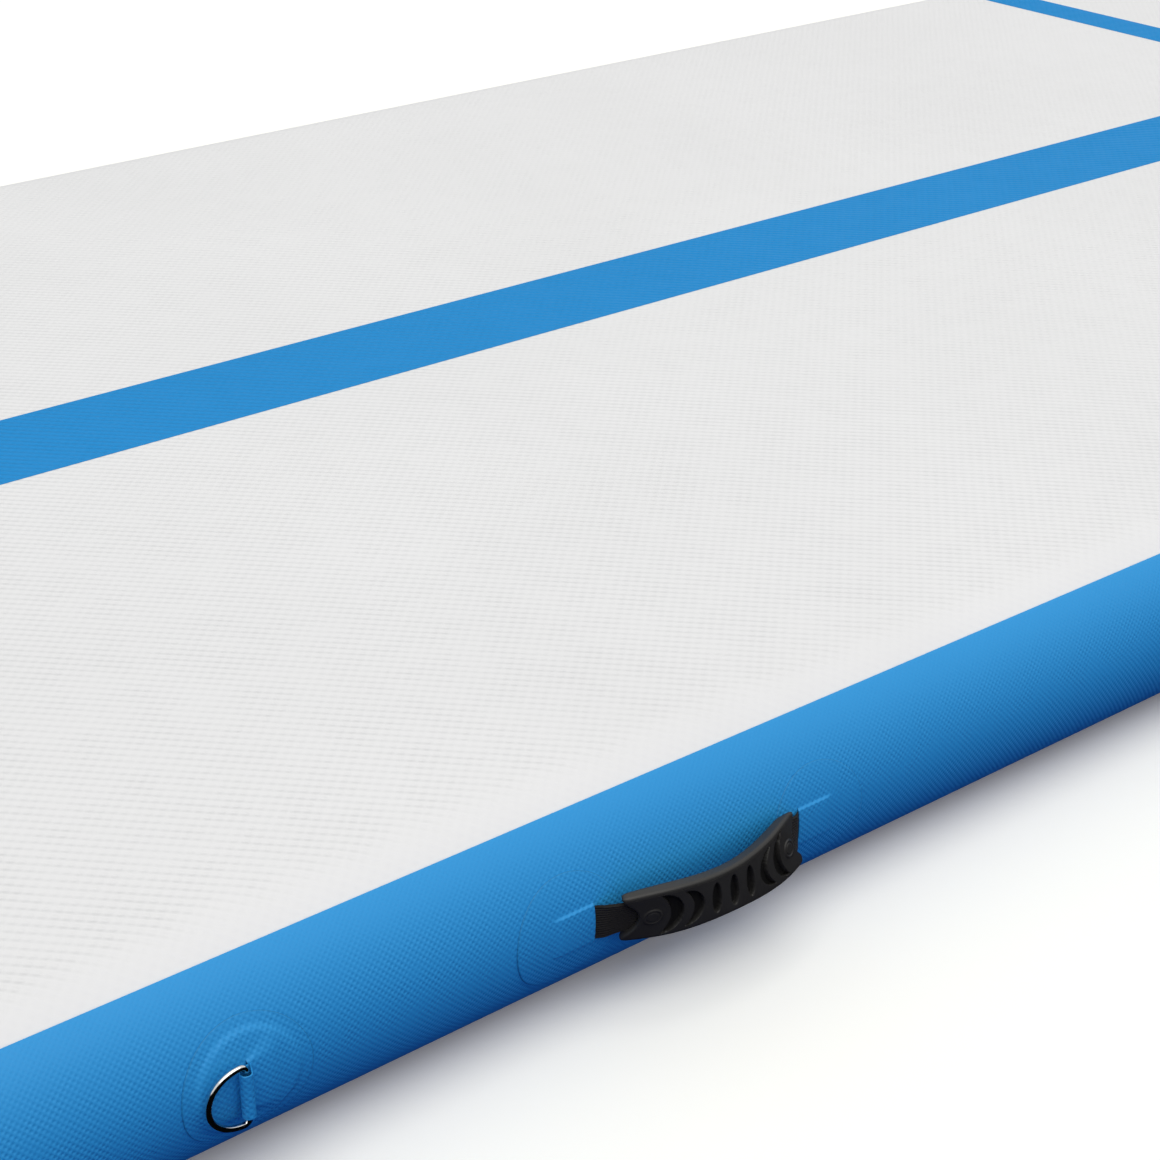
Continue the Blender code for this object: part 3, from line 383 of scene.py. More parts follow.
@dataclass(frozen=True)
class Finish:
    """A material: its name, main colour and roughness.

    Attributes:
        name: what the material is.
        slot: not used.
        colour: sRGB hex of the body colour.
        roughness: middle roughness.
    """

    name: str
    slot: str
    colour: str
    roughness: float

    def material(self) -> bpy.types.Material:
        """Make the material on its first use.

        Returns:
            The material.
        """
        found = bpy.data.materials.get(self.name)
        if not found:
            found, tree, shader = blank_material(self.name)
            self.detail(tree, shader)
        return found

    def detail(self, tree: Tree, shader: Node) -> None:
        """Build the nodes that give the surface its look."""
        raise NotImplementedError


@dataclass(frozen=True)
class WovenCoat(Finish):
    """Woven polyester under a thin soft PVC coat, or bare; the plain weave stands out as a fine emboss.

    The eye sees rows of small dimples on the two diagonals, an even colour with painted shade that
    darkens the dimples, a thin painted shade line along a cut edge, and a broad soft gloss. The relief is
    sin(pi a / p) sin(pi b / p) for the crossings plus a share of cos(2 pi a / p) + cos(2 pi b / p)
    for the threads, less the lean times cos(pi (a + b) / p), with thread pitch p.

    Attributes:
        thread: thread pitch.
        relief: depth of the emboss.
        source: what the weave follows.
        gloss: specular level of the coat.
        dimple: how much of the painted shade shows in a dimple.
        lean: how much more one diagonal stands out, as in a twill.
        full: height in the frame at which the weave stands out in full.
        pressed: height at which the weave is pressed flat by the weld of the edges.
        welded: share of the relief that a weld leaves.
        thread_share: share of the threads in the relief.
        patch: size of a patch of uneven relief, in threads.
        uneven: share of the relief in the weakest and the strongest patches.
        cloud: size of the clouds in the colour.
        tones: gains on the colour over a cloud.
        dimple_shade_tone: gain on the colour in a dimple, which paints shade there.
        dimple_top: level of the crossings, from -1 to 1, at which the painted shade of a dimple ends.
        edge_shade_tone: gain on the colour along a cut edge, which paints a line of shade there.
        rough_swing: how far the roughness goes to either side.
    """

    thread: float = 1.5 * MM
    relief: float = 0.1 * MM
    source: Source = Source.SURFACE
    gloss: float = 0.4
    dimple: float = 0.3
    lean: float = 0.0
    full: float = 0.0
    pressed: float = 1.0
    welded: float = 0.3
    thread_share: float = 0.15
    patch: float = 5.0
    uneven: tuple[float, float] = (0.55, 1.25)
    cloud: float = 140 * MM
    tones: tuple[float, float] = (0.97, 1.03)
    dimple_shade_tone: float = 0.6
    dimple_top: float = 0.2
    edge_shade_tone: float = 0.7
    rough_swing: float = 0.06

    def detail(self, tree: Tree, shader: Node) -> None:
        """Build the weave, its unevenness, the colour with its painted shade and the gloss.

        Args:
            tree: the material's node tree.
            shader: its shader.
        """
        add = partial(add_node, tree)
        place = add("TexCoord", output="Object")
        follows = place if self.source is Source.PLACE else add("UVMap", output="UV", uv_map="surface")
        turns = add("VectorMath", {0: follows, 1: (math.pi / self.thread,) * 3}, operation="MULTIPLY")
        sine = add("SeparateXYZ", {0: add("VectorMath", {0: turns}, operation="SINE")}).node.outputs
        weave = add("Math", {0: sine[0], 1: sine[1]}, operation="MULTIPLY")
        twice = add("VectorMath", {0: turns, 1: (2.0,) * 3}, operation="MULTIPLY")
        cosine = add("SeparateXYZ", {0: add("VectorMath", {0: twice}, operation="COSINE")}).node.outputs
        threads = add("Math", {0: cosine[0], 1: cosine[1]}, operation="ADD")
        relief = add("Math", {0: threads, 1: self.thread_share, 2: weave}, operation="MULTIPLY_ADD")
        slant = add("VectorMath", {0: turns, 1: (1.0, 1.0, 0.0)}, "Value", operation="DOT_PRODUCT")
        twill = add("Math", {0: slant}, operation="COSINE")
        relief = add("Math", {0: twill, 1: -self.lean, 2: relief}, operation="MULTIPLY_ADD")
        uneven = add("TexNoise", {"Vector": place, "Scale": 1 / (self.patch * self.thread), "Detail": 2.0})
        share = add("MapRange", {0: uneven, 1: NOISE_LOW, 2: NOISE_HIGH, 3: self.uneven[0], 4: self.uneven[1]})
        level = add("SeparateXYZ", {0: place}, 2)
        left = add("MapRange", {0: level, 1: self.full, 2: self.pressed, 3: 1.0, 4: self.welded})
        share = add("Math", {0: share, 1: left}, operation="MULTIPLY")
        height = add("Math", {0: relief, 1: share}, operation="MULTIPLY")
        bump = add("Bump", {"Height": height, "Distance": self.relief, "Strength": 1.0})
        clouds = add("TexNoise", {"Vector": place, "Scale": 1 / self.cloud, "Detail": 3.0})
        gains = (*self.tones, self.dimple_shade_tone, self.edge_shade_tone)
        low, high, dark, edge_shade_colour = (linear(self.colour, gain) for gain in gains)
        tone = add("Mix", {0: clouds, 6: low, 7: high}, 2, data_type="RGBA")
        # painted shade: the colour darkens towards the bottom of each dimple of the weave
        deep = add("MapRange", {0: weave, 1: -1.0, 2: self.dimple_top, 3: self.dimple, 4: 0.0})
        tone = add("Mix", {0: deep, 6: tone, 7: dark}, 2, data_type="RGBA")
        # painted shade: a dark line along the cut edges of a patch and its slit
        cut = add("Attribute", output="Fac", attribute_name="painted_shade_share")
        tone = add("Mix", {0: cut, 6: tone, 7: edge_shade_colour}, 2, data_type="RGBA")
        rough = add("MapRange", {0: uneven, 3: self.roughness - self.rough_swing,
                                 4: self.roughness + self.rough_swing})
        feed(tree, shader, {"Base Color": tone, "Roughness": rough, "Normal": bump,
                            "Specular IOR Level": self.gloss, "IOR": 1.5})


@dataclass(frozen=True)
class Webbing(Finish):
    """Nylon webbing woven flat: rounded cords along its length, crossed by fine picks.

    The eye sees close dark ribs with a dull sheen; the colour is painted lighter on the crowns as highlight and
    darker in the grooves as shade.

    Attributes:
        rib: pitch of the lengthwise cords.
        pick: pitch of the cross threads.
        pick_share: share of the cross threads in the relief.
        relief: depth of the weave.
        tones: gains on the colour in a groove and on a crown, which paint shade and highlight there.
        sheen: weight of the sheen.
        gloss: specular level.
    """

    rib: float = 1.2 * MM
    pick: float = 0.9 * MM
    pick_share: float = 0.35
    relief: float = 0.18 * MM
    tones: tuple[float, float] = (0.45, 1.5)
    sheen: float = 0.03
    gloss: float = 0.2

    def detail(self, tree: Tree, shader: Node) -> None:
        """Build the cords, the picks over them and the colour with painted highlight on crowns and painted
        shade in grooves.

        Args:
            tree: the material's node tree.
            shader: its shader.
        """
        add = partial(add_node, tree)
        follows = add("UVMap", output="UV", uv_map="surface")
        scale = (math.pi / self.pick, math.pi / self.rib, 0.0)
        turns = add("VectorMath", {0: follows, 1: scale}, operation="MULTIPLY")
        sine = add("SeparateXYZ", {0: add("VectorMath", {0: turns}, operation="SINE")}).node.outputs
        cord = add("Math", {0: sine[1]}, operation="ABSOLUTE")
        cross = add("Math", {0: sine[0], 1: sine[1]}, operation="MULTIPLY")
        height = add("Math", {0: cross, 1: self.pick_share, 2: cord}, operation="MULTIPLY_ADD")
        bump = add("Bump", {"Height": height, "Distance": self.relief, "Strength": 1.0})
        # painted shade in the grooves and painted highlight on the crowns of the cords
        groove, crown = (linear(self.colour, gain) for gain in self.tones)
        tone = add("Mix", {0: cord, 6: groove, 7: crown}, 2, data_type="RGBA")
        feed(tree, shader, {"Base Color": tone, "Normal": bump, "Roughness": self.roughness,
                            "Sheen Weight": self.sheen, "Specular IOR Level": self.gloss})


@dataclass(frozen=True)
class Moulded(Finish):
    """Rubber or plastic moulded in a lightly grained tool.

    The eye sees a satin skin with a fine grain that breaks the gloss, slight clouds from the filling
    of the mould, and painted shade that darkens the colour in recesses.

    Attributes:
        grain: size of the grain.
        depth: depth of the grain.
        gloss: specular level.
        cloud: size of the clouds.
        tones: gains on the colour over a cloud.
        recess_shade_tone: gain on the colour in a recess, which paints shade there.
        rough_swing: what a cloud adds to the roughness at its two ends.
    """

    grain: float = 0.5 * MM
    depth: float = 0.02 * MM
    gloss: float = 0.4
    cloud: float = 18 * MM
    tones: tuple[float, float] = (0.85, 1.2)
    recess_shade_tone: float = 0.4
    rough_swing: tuple[float, float] = (-0.05, 0.07)

    def detail(self, tree: Tree, shader: Node) -> None:
        """Build the grain, the clouds in the colour, the painted shade in recesses and the uneven gloss.

        Args:
            tree: the material's node tree.
            shader: its shader.
        """
        add = partial(add_node, tree)
        place = add("TexCoord", output="Object")
        grain = add("TexNoise", {"Vector": place, "Scale": 1 / self.grain, "Detail": 2.0})
        clouds = add("TexNoise", {"Vector": place, "Scale": 1 / self.cloud, "Detail": 3.0})
        bump = add("Bump", {"Height": grain, "Distance": self.depth, "Strength": 1.0})
        low, high, recess = (linear(self.colour, gain) for gain in (*self.tones, self.recess_shade_tone))
        tone = add("Mix", {0: clouds, 6: low, 7: high}, 2, data_type="RGBA")
        # painted shade: the colour darkens where the piece carries a share of shade, as in the grip's pockets
        deep = add("Attribute", output="Fac", attribute_name="painted_shade_share")
        tone = add("Mix", {0: deep, 6: tone, 7: recess}, 2, data_type="RGBA")
        smooth, rough = (self.roughness + swing for swing in self.rough_swing)
        rough = add("MapRange", {0: clouds, 1: NOISE_LOW, 2: NOISE_HIGH, 3: smooth, 4: rough})
        feed(tree, shader, {"Base Color": tone, "Roughness": rough, "Normal": bump,
                            "Specular IOR Level": self.gloss, "IOR": 1.52})


@dataclass(frozen=True)
class Steel(Finish):
    """Steel wire, drawn and polished or left bright.

    The eye sees sharp mirror streaks along the wire, softened in places by fine rub marks.

    Attributes:
        rub: size of the rub marks.
        rub_range: values of the noise between which a rub mark comes in.
        rub_rough: roughness that a rub mark adds.
        tones: gains on the colour over the rub marks.
    """

    rub: float = 2.5 * MM
    rub_range: tuple[float, float] = (0.35, 0.75)
    rub_rough: float = 0.1
    tones: tuple[float, float] = (0.9, 1.08)

    def detail(self, tree: Tree, shader: Node) -> None:
        """Build the rub marks in the gloss and a faint tint.

        Args:
            tree: the material's node tree.
            shader: its shader.
        """
        add = partial(add_node, tree)
        place = add("TexCoord", output="Object")
        marks = add("TexNoise", {"Vector": place, "Scale": 1 / self.rub, "Detail": 4.0})
        rough = add("MapRange", {0: marks, 1: self.rub_range[0], 2: self.rub_range[1], 3: self.roughness,
                                 4: self.roughness + self.rub_rough})
        low, high = (linear(self.colour, gain) for gain in self.tones)
        tone = add("Mix", {0: marks, 6: low, 7: high}, 2, data_type="RGBA")
        feed(tree, shader, {"Base Color": tone, "Roughness": rough, "Metallic": 1.0})


TOP_COAT = WovenCoat("pvc_coated_polyester_light_grey", "pvc_top_grey", "#E9E8E7", 0.55, thread=3.54 * MM,
                     relief=0.165 * MM, source=Source.PLACE, gloss=0.08, dimple=0.03, lean=0.8,
                     full=99.9 * MM, pressed=97 * MM)
LINE_COAT = replace(TOP_COAT, name="pvc_marking_strip_blue", slot="print_line_blue", colour="#258BCD",
                    dimple=0.05)
WALL_COAT = WovenCoat("pvc_coated_polyester_blue", "pvc_wall_blue", "#2C97D8", 0.5, thread=1.48 * MM,
                      relief=0.105 * MM, gloss=0.28, dimple=0.05, lean=0.13, full=72 * MM, pressed=88 * MM)
INNER_COAT = WovenCoat("pvc_lining_grey", "pvc_top_grey", "#D8D8D6", 0.6, thread=3.54 * MM, relief=0.12 * MM,
                       source=Source.PLACE, gloss=0.1, dimple=0.1)
BARE_CLOTH = WovenCoat("drop_stitch_polyester", "polyester_cloth", "#DAD8CF", 0.9, thread=3.0 * MM,
                       relief=0.2 * MM, source=Source.PLACE, gloss=0.1, dimple=0.35)
STRAP_WEB = Webbing("nylon_webbing_black", "nylon_webbing", "#201E1B", 0.75)
GRIP_RUBBER = Moulded("moulded_rubber_black", "rubber_grip", "#2B2A28", 0.45, gloss=0.35)
VALVE_PLASTIC = Moulded("moulded_abs_charcoal", "valve_plastic", "#35373A", 0.42, 0.6 * MM, 0.012 * MM, 0.5)
VALVE_RUBBER = Moulded("moulded_rubber_seal", "valve_rubber", "#1C1C1B", 0.7, 0.4 * MM, 0.015 * MM, 0.3)
RING_STEEL = Steel("polished_stainless_wire", "ring_steel", "#CFCFCE", 0.07)
SPRING_STEEL = Steel("bright_spring_wire", "spring_steel", "#AEB0B2", 0.2)


# Putting pieces into the frame


def show(surface: Surface, name: str, finish: Finish, body: str, node: str, sharp: float = SHARP,
         rides: bool = True) -> bpy.types.Object:
    """Build a piece, dress it, attach it to the body that it rides on and hide the solid that it stands for.

    Args:
        surface: the piece's surface in the part's frame.
        name: piece name.
        finish: its material.
        body: body that it moves with.
        node: solid that it replaces.
        sharp: angle in degrees past which an edge is shaded hard.
        rides: False to leave the piece attached to no body, as for one that spans two bodies.

    Returns:
        The piece.
    """
    item = surface.build(name, sharp)
    item.data.materials.append(finish.material())
    if rides:
        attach(item, body)
    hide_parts(node)
    LOG.info("%s: %d faces, %s, on %s", name, len(item.data.polygons), finish.name, body)
    return item


@dataclass
class MatShape:
    """Main sizes of the blown-up mat, shared by all that sits on it.

    The wall's section is an arc about a line that runs around the mat as a rounded rectangle. A
    skin's place is that line plus its radius times the sine of the section angle outwards, and half
    the thickness plus the radius times the cosine upwards; the angle is 0 on top.
    """

    length: float = 3000 * MM
    width: float = 1000 * MM
    thickness: float = 100 * MM
    corner: float = 120 * MM
    panel_skin: float = 1.0 * MM
    wall_skin: float = 0.9 * MM
    gap: float = 0.3 * MM
    wall_top: float = math.radians(32)
    lip_end: float = math.radians(61)
    flat_half: float = 33 * MM
    flat_fade: float = 60 * MM
    flat_soft: float = 2.5 * MM
    hole: float = 20.6 * MM
    straight_step: float = 60 * MM
    bend_steps: int = 20
    dent_steps: int = 39

    def __post_init__(self) -> None:
        """Work out the sizes that follow from the others."""
        self.middle = self.thickness / 2
        self.panel_radius = self.thickness / 2
        self.wall_radius = self.panel_radius + self.gap + self.wall_skin
        self.inner_radius = self.panel_radius - self.panel_skin - self.gap
        self.arc_x = self.length / 2 - self.wall_radius
        self.arc_y = self.width / 2 - self.wall_radius
        self.arc_corner = self.corner - self.wall_radius
        self.flat_end = self.flat_half + self.flat_fade
        self.flat_depth = self.wall_radius - math.sqrt(self.wall_radius ** 2 - self.flat_half ** 2)
        bend = math.pi / 2 * self.arc_corner
        end = self.arc_y - self.arc_corner
        side = 2 * (self.arc_x - self.arc_corner)
        self.knots = np.cumsum([0, end, bend, side, bend, 2 * end, bend, side, bend, end])
        self.round_length = float(self.knots[-1])

    def stations(self, begin: float, end: float) -> Array:
        """Return distances along the line between two places, closer at the corners and beside the valve.

        Args:
            begin: first distance.
            end: last distance.

        Returns:
            Ascending distances.
        """
        runs = [(a, b, self.bend_steps if k % 2 else max(2, round((b - a) / self.straight_step)))
                for k, (a, b) in enumerate(zip(self.knots, self.knots[1:]))]
        dent = np.linspace(0, self.flat_end, self.dent_steps + 1)
        inside = np.unique(np.concatenate([spaced(*runs), dent, self.round_length - dent]))
        inside = inside[(inside > begin + MM) & (inside < end - MM)]
        return np.concatenate([[begin], inside, [end]])

    def line(self, along: Array) -> tuple[Array, Array]:
        """Return places and outward directions on the line, from the middle of the valve end by the front.

        Straights run at their own distance; a corner is its centre plus the corner radius times the
        direction, which turns a quarter.

        Args:
            along: distances along the line.

        Returns:
            Places and directions, each with a last axis of 2.
        """
        k = np.clip(np.searchsorted(self.knots, along, side="right") - 1, 0, 8)
        t = along - self.knots[k]
        is_bend = k % 2 == 1
        angle = math.pi + math.pi / 2 * (k // 2) + np.where(is_bend, t / self.arc_corner, 0.0)
        normal = stacked(np.cos(angle), np.sin(angle))
        tangent = stacked(-normal[..., 1], normal[..., 0])
        centres = np.array([[-1, 0], [-1, -1], [-1, -1], [1, -1], [1, -1], [1, 1], [1, 1], [-1, 1], [-1, 1]])
        start = centres[k] * (self.arc_x - self.arc_corner, self.arc_y - self.arc_corner)
        return start + normal * self.arc_corner + tangent * np.where(is_bend, 0.0, t)[..., None], normal

    def skin(self, along: Array, radius: Array | float, angle: Array | float) -> Array:
        """Return skin points; near the valve the end wall is drawn in to a flat.

        Args:
            along: distances along the line.
            radius: section radius.
            angle: section angle from the top.

        Returns:
            Points, with the arguments' broadcast shape and a last axis of 3.
        """
        along, radius, angle = np.broadcast_arrays(along, radius, angle)
        place, normal = self.line(along)
        flat = place + normal * (radius * np.sin(angle))[..., None]
        height = self.middle + radius * np.cos(angle)
        return stacked(self.drawn_in(flat[..., 0], flat[..., 1], radius), flat[..., 1], height)

    def drawn_in(self, x: Array, y: Array, radius: Array | float) -> Array:
        """Return x held back by the flat beside the valve.

        The flat is a limit on x that fades out along the wall. Near the valve x is the smooth larger
        of the two, (a + b + sqrt((a-b)^2 + k^2)) / 2, and further off it is the plain larger one.

        Args:
            x: places along the mat before the flat.
            y: places across the mat.
            radius: section radius.

        Returns:
            Places along the mat.
        """
        depth = self.flat_depth * plateau(y, self.flat_half, self.flat_end)
        limit = depth + self.wall_radius - radius - self.length / 2
        held = (x + limit + np.sqrt((x - limit) ** 2 + self.flat_soft ** 2)) / 2
        share = plateau(y, self.flat_half + self.flat_fade / 2, self.flat_end)
        moved = x + (held - x) * share + np.maximum(limit - x, 0.0) * (1 - share)
        return np.where((x < 0) & (depth > 0), moved, x)

    def on_wall(self, u: Array, v: Array, height: Array | float) -> Array:
        """Return points in a fitting's local frame: u along the wall, v up its curve, -Y outwards."""
        radius, angle = self.wall_radius + height, v / self.wall_radius
        return stacked(u, self.wall_radius - radius * np.cos(angle), radius * np.sin(angle))


@dataclass
class MatSkins:
    """The coated panels, the wall strips, the lining and the drop-stitch cloth."""

    shape: MatShape
    panel_rows: int = 13
    lip_steps: int = 18
    wall_steps: int = 56
    edge_steps: int = 6
    hole_steps: tuple[int, int, int] = (24, 48, 35)
    lining_top: float = math.radians(51.3)
    lining_lap: float = 12 * MM
    bias: float = 0.1
    cloth_skin: float = 0.6 * MM
    cloth_inset: float = 4 * MM
    yarns: tuple[int, int] = (40, 12)
    yarn_width: float = 3 * MM

    def panel(self, is_top: bool) -> Surface:
        """Return a flat panel with its edge turned over as a lip.

        A row of the grid goes out from the middle to the line, down the lip's outer arc, and back
        along the inner arc and the underside; a column goes around the mat.

        Args:
            is_top: True for the top panel, False for the bottom panel.

        Returns:
            The closed surface.
        """
        m = self.shape
        outer, inner = m.panel_radius, m.panel_radius - m.panel_skin
        sign = 1.0 if is_top else -1.0
        along = m.stations(0.0, m.round_length)
        plan = np.linspace(0, 1, self.panel_rows)[:, None, None] * m.line(along)[0]
        face, under = (stacked(plan[..., 0], plan[..., 1], m.middle + sign * r) for r in (outer, inner))
        arc = np.linspace(0, m.lip_end, self.lip_steps)
        rim = np.linspace(outer, inner, 4)[1:-1]
        radius = np.concatenate([np.full_like(arc, outer), rim, np.full_like(arc, inner)])
        angle = np.concatenate([arc, np.full_like(rim, m.lip_end), arc[::-1]])
        lip = m.skin(along[None, :], radius[:, None], angle[:, None])
        if not is_top:
            lip[..., 2] = m.thickness - lip[..., 2]
        return Surface.grid(np.concatenate([face[:-1], lip, under[-2::-1]]))

    def strip(self, begin: float, end: float, outer: float, top: float) -> Surface:
        """Return a wall strip: a thin arc section with rounded edges carried along the line.

        Args:
            begin: first distance along the line.
            end: last distance.
            outer: outer radius of the section.
            top: section angle of the upper edge; the lower edge mirrors it.

        Returns:
            The closed surface, with the length along the wall and up its curve as coordinates.
        """
        m = self.shape
        along = m.stations(begin, end)
        half = m.wall_skin / 2
        middle = outer - half
        arc = np.linspace(top, math.pi - top, self.wall_steps + 1)
        turn = np.linspace(0, math.pi, self.edge_steps + 1)[1:-1]
        edge = half * np.sin(turn) / middle
        radius = np.concatenate([np.full_like(arc, outer), middle + half * np.cos(turn),
                                 np.full_like(arc, outer - m.wall_skin), middle - half * np.cos(turn), [outer]])
        angle = np.concatenate([arc, arc[-1] + edge, arc[::-1], arc[0] - edge, arc[:1]])
        points = m.skin(along[:, None], radius, angle)
        closing = m.skin(along[[0, -1], None], middle, angle)
        run = travelled(m.skin(along, outer, math.pi / 2))[:, None]
        up = outer * (math.pi / 2 - angle)
        coords = stacked(run - self.bias * up, up)
        points = np.concatenate([closing[:1], points, closing[1:]])
        return Surface.grid(points, np.concatenate([coords[:1], coords, coords[-1:]]))

    def holed(self, outer: float, top: float, half_y: float) -> Surface:
        """Return the piece of end wall or lining around the valve, with its round hole.

        A row goes from the hole's edge straight out to the piece's border in the wall's own
        coordinates, then back along the inside; a column goes around the hole.

        Args:
            outer: outer radius of the section.
            top: section angle of the upper edge; the lower edge mirrors it.
            half_y: distance from the valve at which the piece ends.

        Returns:
            The closed surface, with the length along the wall and up its curve as coordinates.
        """
        m = self.shape
        half_w = outer * (math.pi / 2 - top)
        corner = math.atan2(half_w, half_y)
        short, long, rows = self.hole_steps
        turn = spaced((-corner, corner, short), (corner, math.pi - corner, long),
                      (math.pi - corner, math.pi + corner, short),
                      (math.pi + corner, 2 * math.pi - corner, long))
        c, s = np.cos(turn), np.sin(turn)
        reach = 1 / np.maximum(np.abs(c) / half_y, np.abs(s) / half_w)
        hole = stacked(m.hole * c, outer * np.arcsin(m.hole * s / outer))
        share = np.linspace(0, 1, rows + 1)[:, None, None]
        plan = hole * (1 - share) + stacked(reach * c, reach * s) * share
        angle = math.pi / 2 - plan[..., 1] / outer
        layers = []
        for radius in (outer, outer - m.wall_skin):
            x = m.drawn_in(-m.arc_x - radius * np.sin(angle), plan[..., 0], radius)
            layers.append(stacked(x, plan[..., 0], m.middle + radius * np.cos(angle)))
        points = np.concatenate([layers[0], layers[1][::-1], layers[0][:1]])
        return Surface.grid(points, np.concatenate([plan, plan[::-1], plan[:1]]))

    def cloth(self) -> Surface:
        """Return the two base cloths and the upright yarns between them.

        A yarn is a square tube; all of them come from one array of places and four corner offsets.

        Returns:
            Two closed sheets and the open tubes.
        """
        m = self.shape
        half = np.array([m.arc_x - m.arc_corner - self.cloth_inset, m.arc_y - self.cloth_inset])
        low = m.panel_skin + m.gap
        levels = (low, low + self.cloth_skin, m.thickness - low - self.cloth_skin, m.thickness - low)
        flat = stacked(*np.meshgrid((-half[0], half[0]), (-half[1], half[1]), indexing="ij"))
        sheets = [stacked(flat[..., 0], flat[..., 1], z) for z in levels]
        made = Surface.shell(sheets[1], sheets[0], flat) + Surface.shell(sheets[3], sheets[2], flat)
        rows = [size * ((np.arange(count) + 0.5) / count * 2 - 1) for size, count in zip(half, self.yarns)]
        middle = stacked(*np.meshgrid(*rows, indexing="ij")).reshape(-1, 1, 1, 2)
        corner = self.yarn_width / 2 * np.array([[-1, -1], [1, -1], [1, 1], [-1, 1], [-1, -1]])
        plan = middle + corner.reshape(1, 5, 1, 2)
        points = stacked(plan[..., 0], plan[..., 1], np.array(levels[1:3])).reshape(-1, 3)
        quad = np.array([[0, 1, 3, 2], [2, 3, 5, 4], [4, 5, 7, 6], [6, 7, 9, 8]])
        faces = (np.arange(len(middle))[:, None, None] * 10 + quad).reshape(-1, 4)
        return made + Surface(points, points * (1, 1, 0), faces)

    def build(self) -> None:
        """Build the skins and put them into the frame."""
        m = self.shape
        for name, is_top in (("top", True), ("bottom", False)):
            item = show(self.panel(is_top), f"{name}_sheet", TOP_COAT, "mat", f"{name}_panel")
        edge = m.flat_end + m.gap
        middle = m.round_length / 2
        for name, begin, end in (("front", edge, middle - m.gap / 2),
                                 ("back", middle + m.gap / 2, m.round_length - edge)):
            strip = self.strip(begin, end, m.wall_radius, m.wall_top)
            item = show(strip, f"wall_strip_{name}", WALL_COAT, "mat", f"side_wall_{name}")
        strip = self.holed(m.wall_radius, m.wall_top, m.flat_end)
        item = show(strip, "wall_strip_valve", WALL_COAT, "mat", "valve_wall")
        edge = edge + self.lining_lap
        lining = self.strip(edge, m.round_length - edge, m.inner_radius, self.lining_top)
        lining = lining + self.holed(m.inner_radius, self.lining_top, edge - m.gap)
        item = show(lining, "wall_lining_band", INNER_COAT, "mat", "wall_lining")
        show(self.cloth(), "drop_stitch_core", BARE_CLOTH, "mat", "drop_stitch_cloth")


@dataclass
class MarkingLines:
    """The blue strips on the top: one along the middle and two across on each side of it."""

    shape: MatShape
    skin: float = 0.4 * MM
    seat: float = 0.1 * MM
    least: float = 0.02 * MM
    edge: float = 0.8 * MM
    rim: float = 0.6 * MM
    centre_width: float = 82 * MM
    cross_width: float = 42 * MM
    cross_x: float = 973 * MM
    end_angle: float = math.radians(30)
    end_steps: int = 10

    def run(self, arc: float, begin: float | None) -> Array:
        """Return the run of a strip over the top and down the lip.

        Args:
            arc: distance of the lip's arc centre from the middle of the mat.
            begin: where the strip starts, or None where it runs over both lips.

        Returns:
            Rows of flat distance and section angle.
        """
        lip = stacked(arc, np.linspace(0, self.end_angle, self.end_steps))
        return np.concatenate([-lip[::-1] if begin is None else [[begin, 0.0]], lip])

    def strip(self, run: Array, width: float) -> Surface:
        """Return a strip along local X: its edges are thinned to a fine rounded rim.

        The height over the panel is the seat plus the skin times sqrt(1 - (1 - d/e)^2) within e of an edge.

        Args:
            run: rows of flat distance and section angle.
            width: width of the strip.

        Returns:
            The closed surface with length and width as coordinates.
        """
        m = self.shape
        across = edged(width / 2, self.edge, 4)
        crown = self.skin * bullnose(width / 2 - np.abs(across), self.rim)
        layers = []
        for lift in (self.seat + np.maximum(crown, self.least), np.full_like(across, self.seat)):
            radius = m.panel_radius + lift
            x = run[:, :1] + radius * np.sin(run[:, 1:])
            layers.append(stacked(x, across, m.middle + radius * np.cos(run[:, 1:])))
        return Surface.shell(layers[0], layers[1], layers[0][..., :2])

    def build(self) -> None:
        """Build the strips and put them into the frame."""
        m = self.shape
        strip = self.strip(self.run(m.arc_x, None), self.centre_width)
        item = show(strip, "centre_strip", LINE_COAT, "mat", "centre_line")
        begin = self.centre_width / 2
        strip = self.strip(self.run(m.arc_y, begin), self.cross_width)
        for end, x in (("left", -self.cross_x), ("right", self.cross_x)):
            for side, turn in (("front", -math.pi / 2), ("back", math.pi / 2)):
                placed = strip.moved(placement((x, 0, 0), turn))
                item = show(placed, f"cross_strip_{end}_{side}", LINE_COAT, "mat", f"cross_line_{end}_{side}")


# Fittings on the long walls


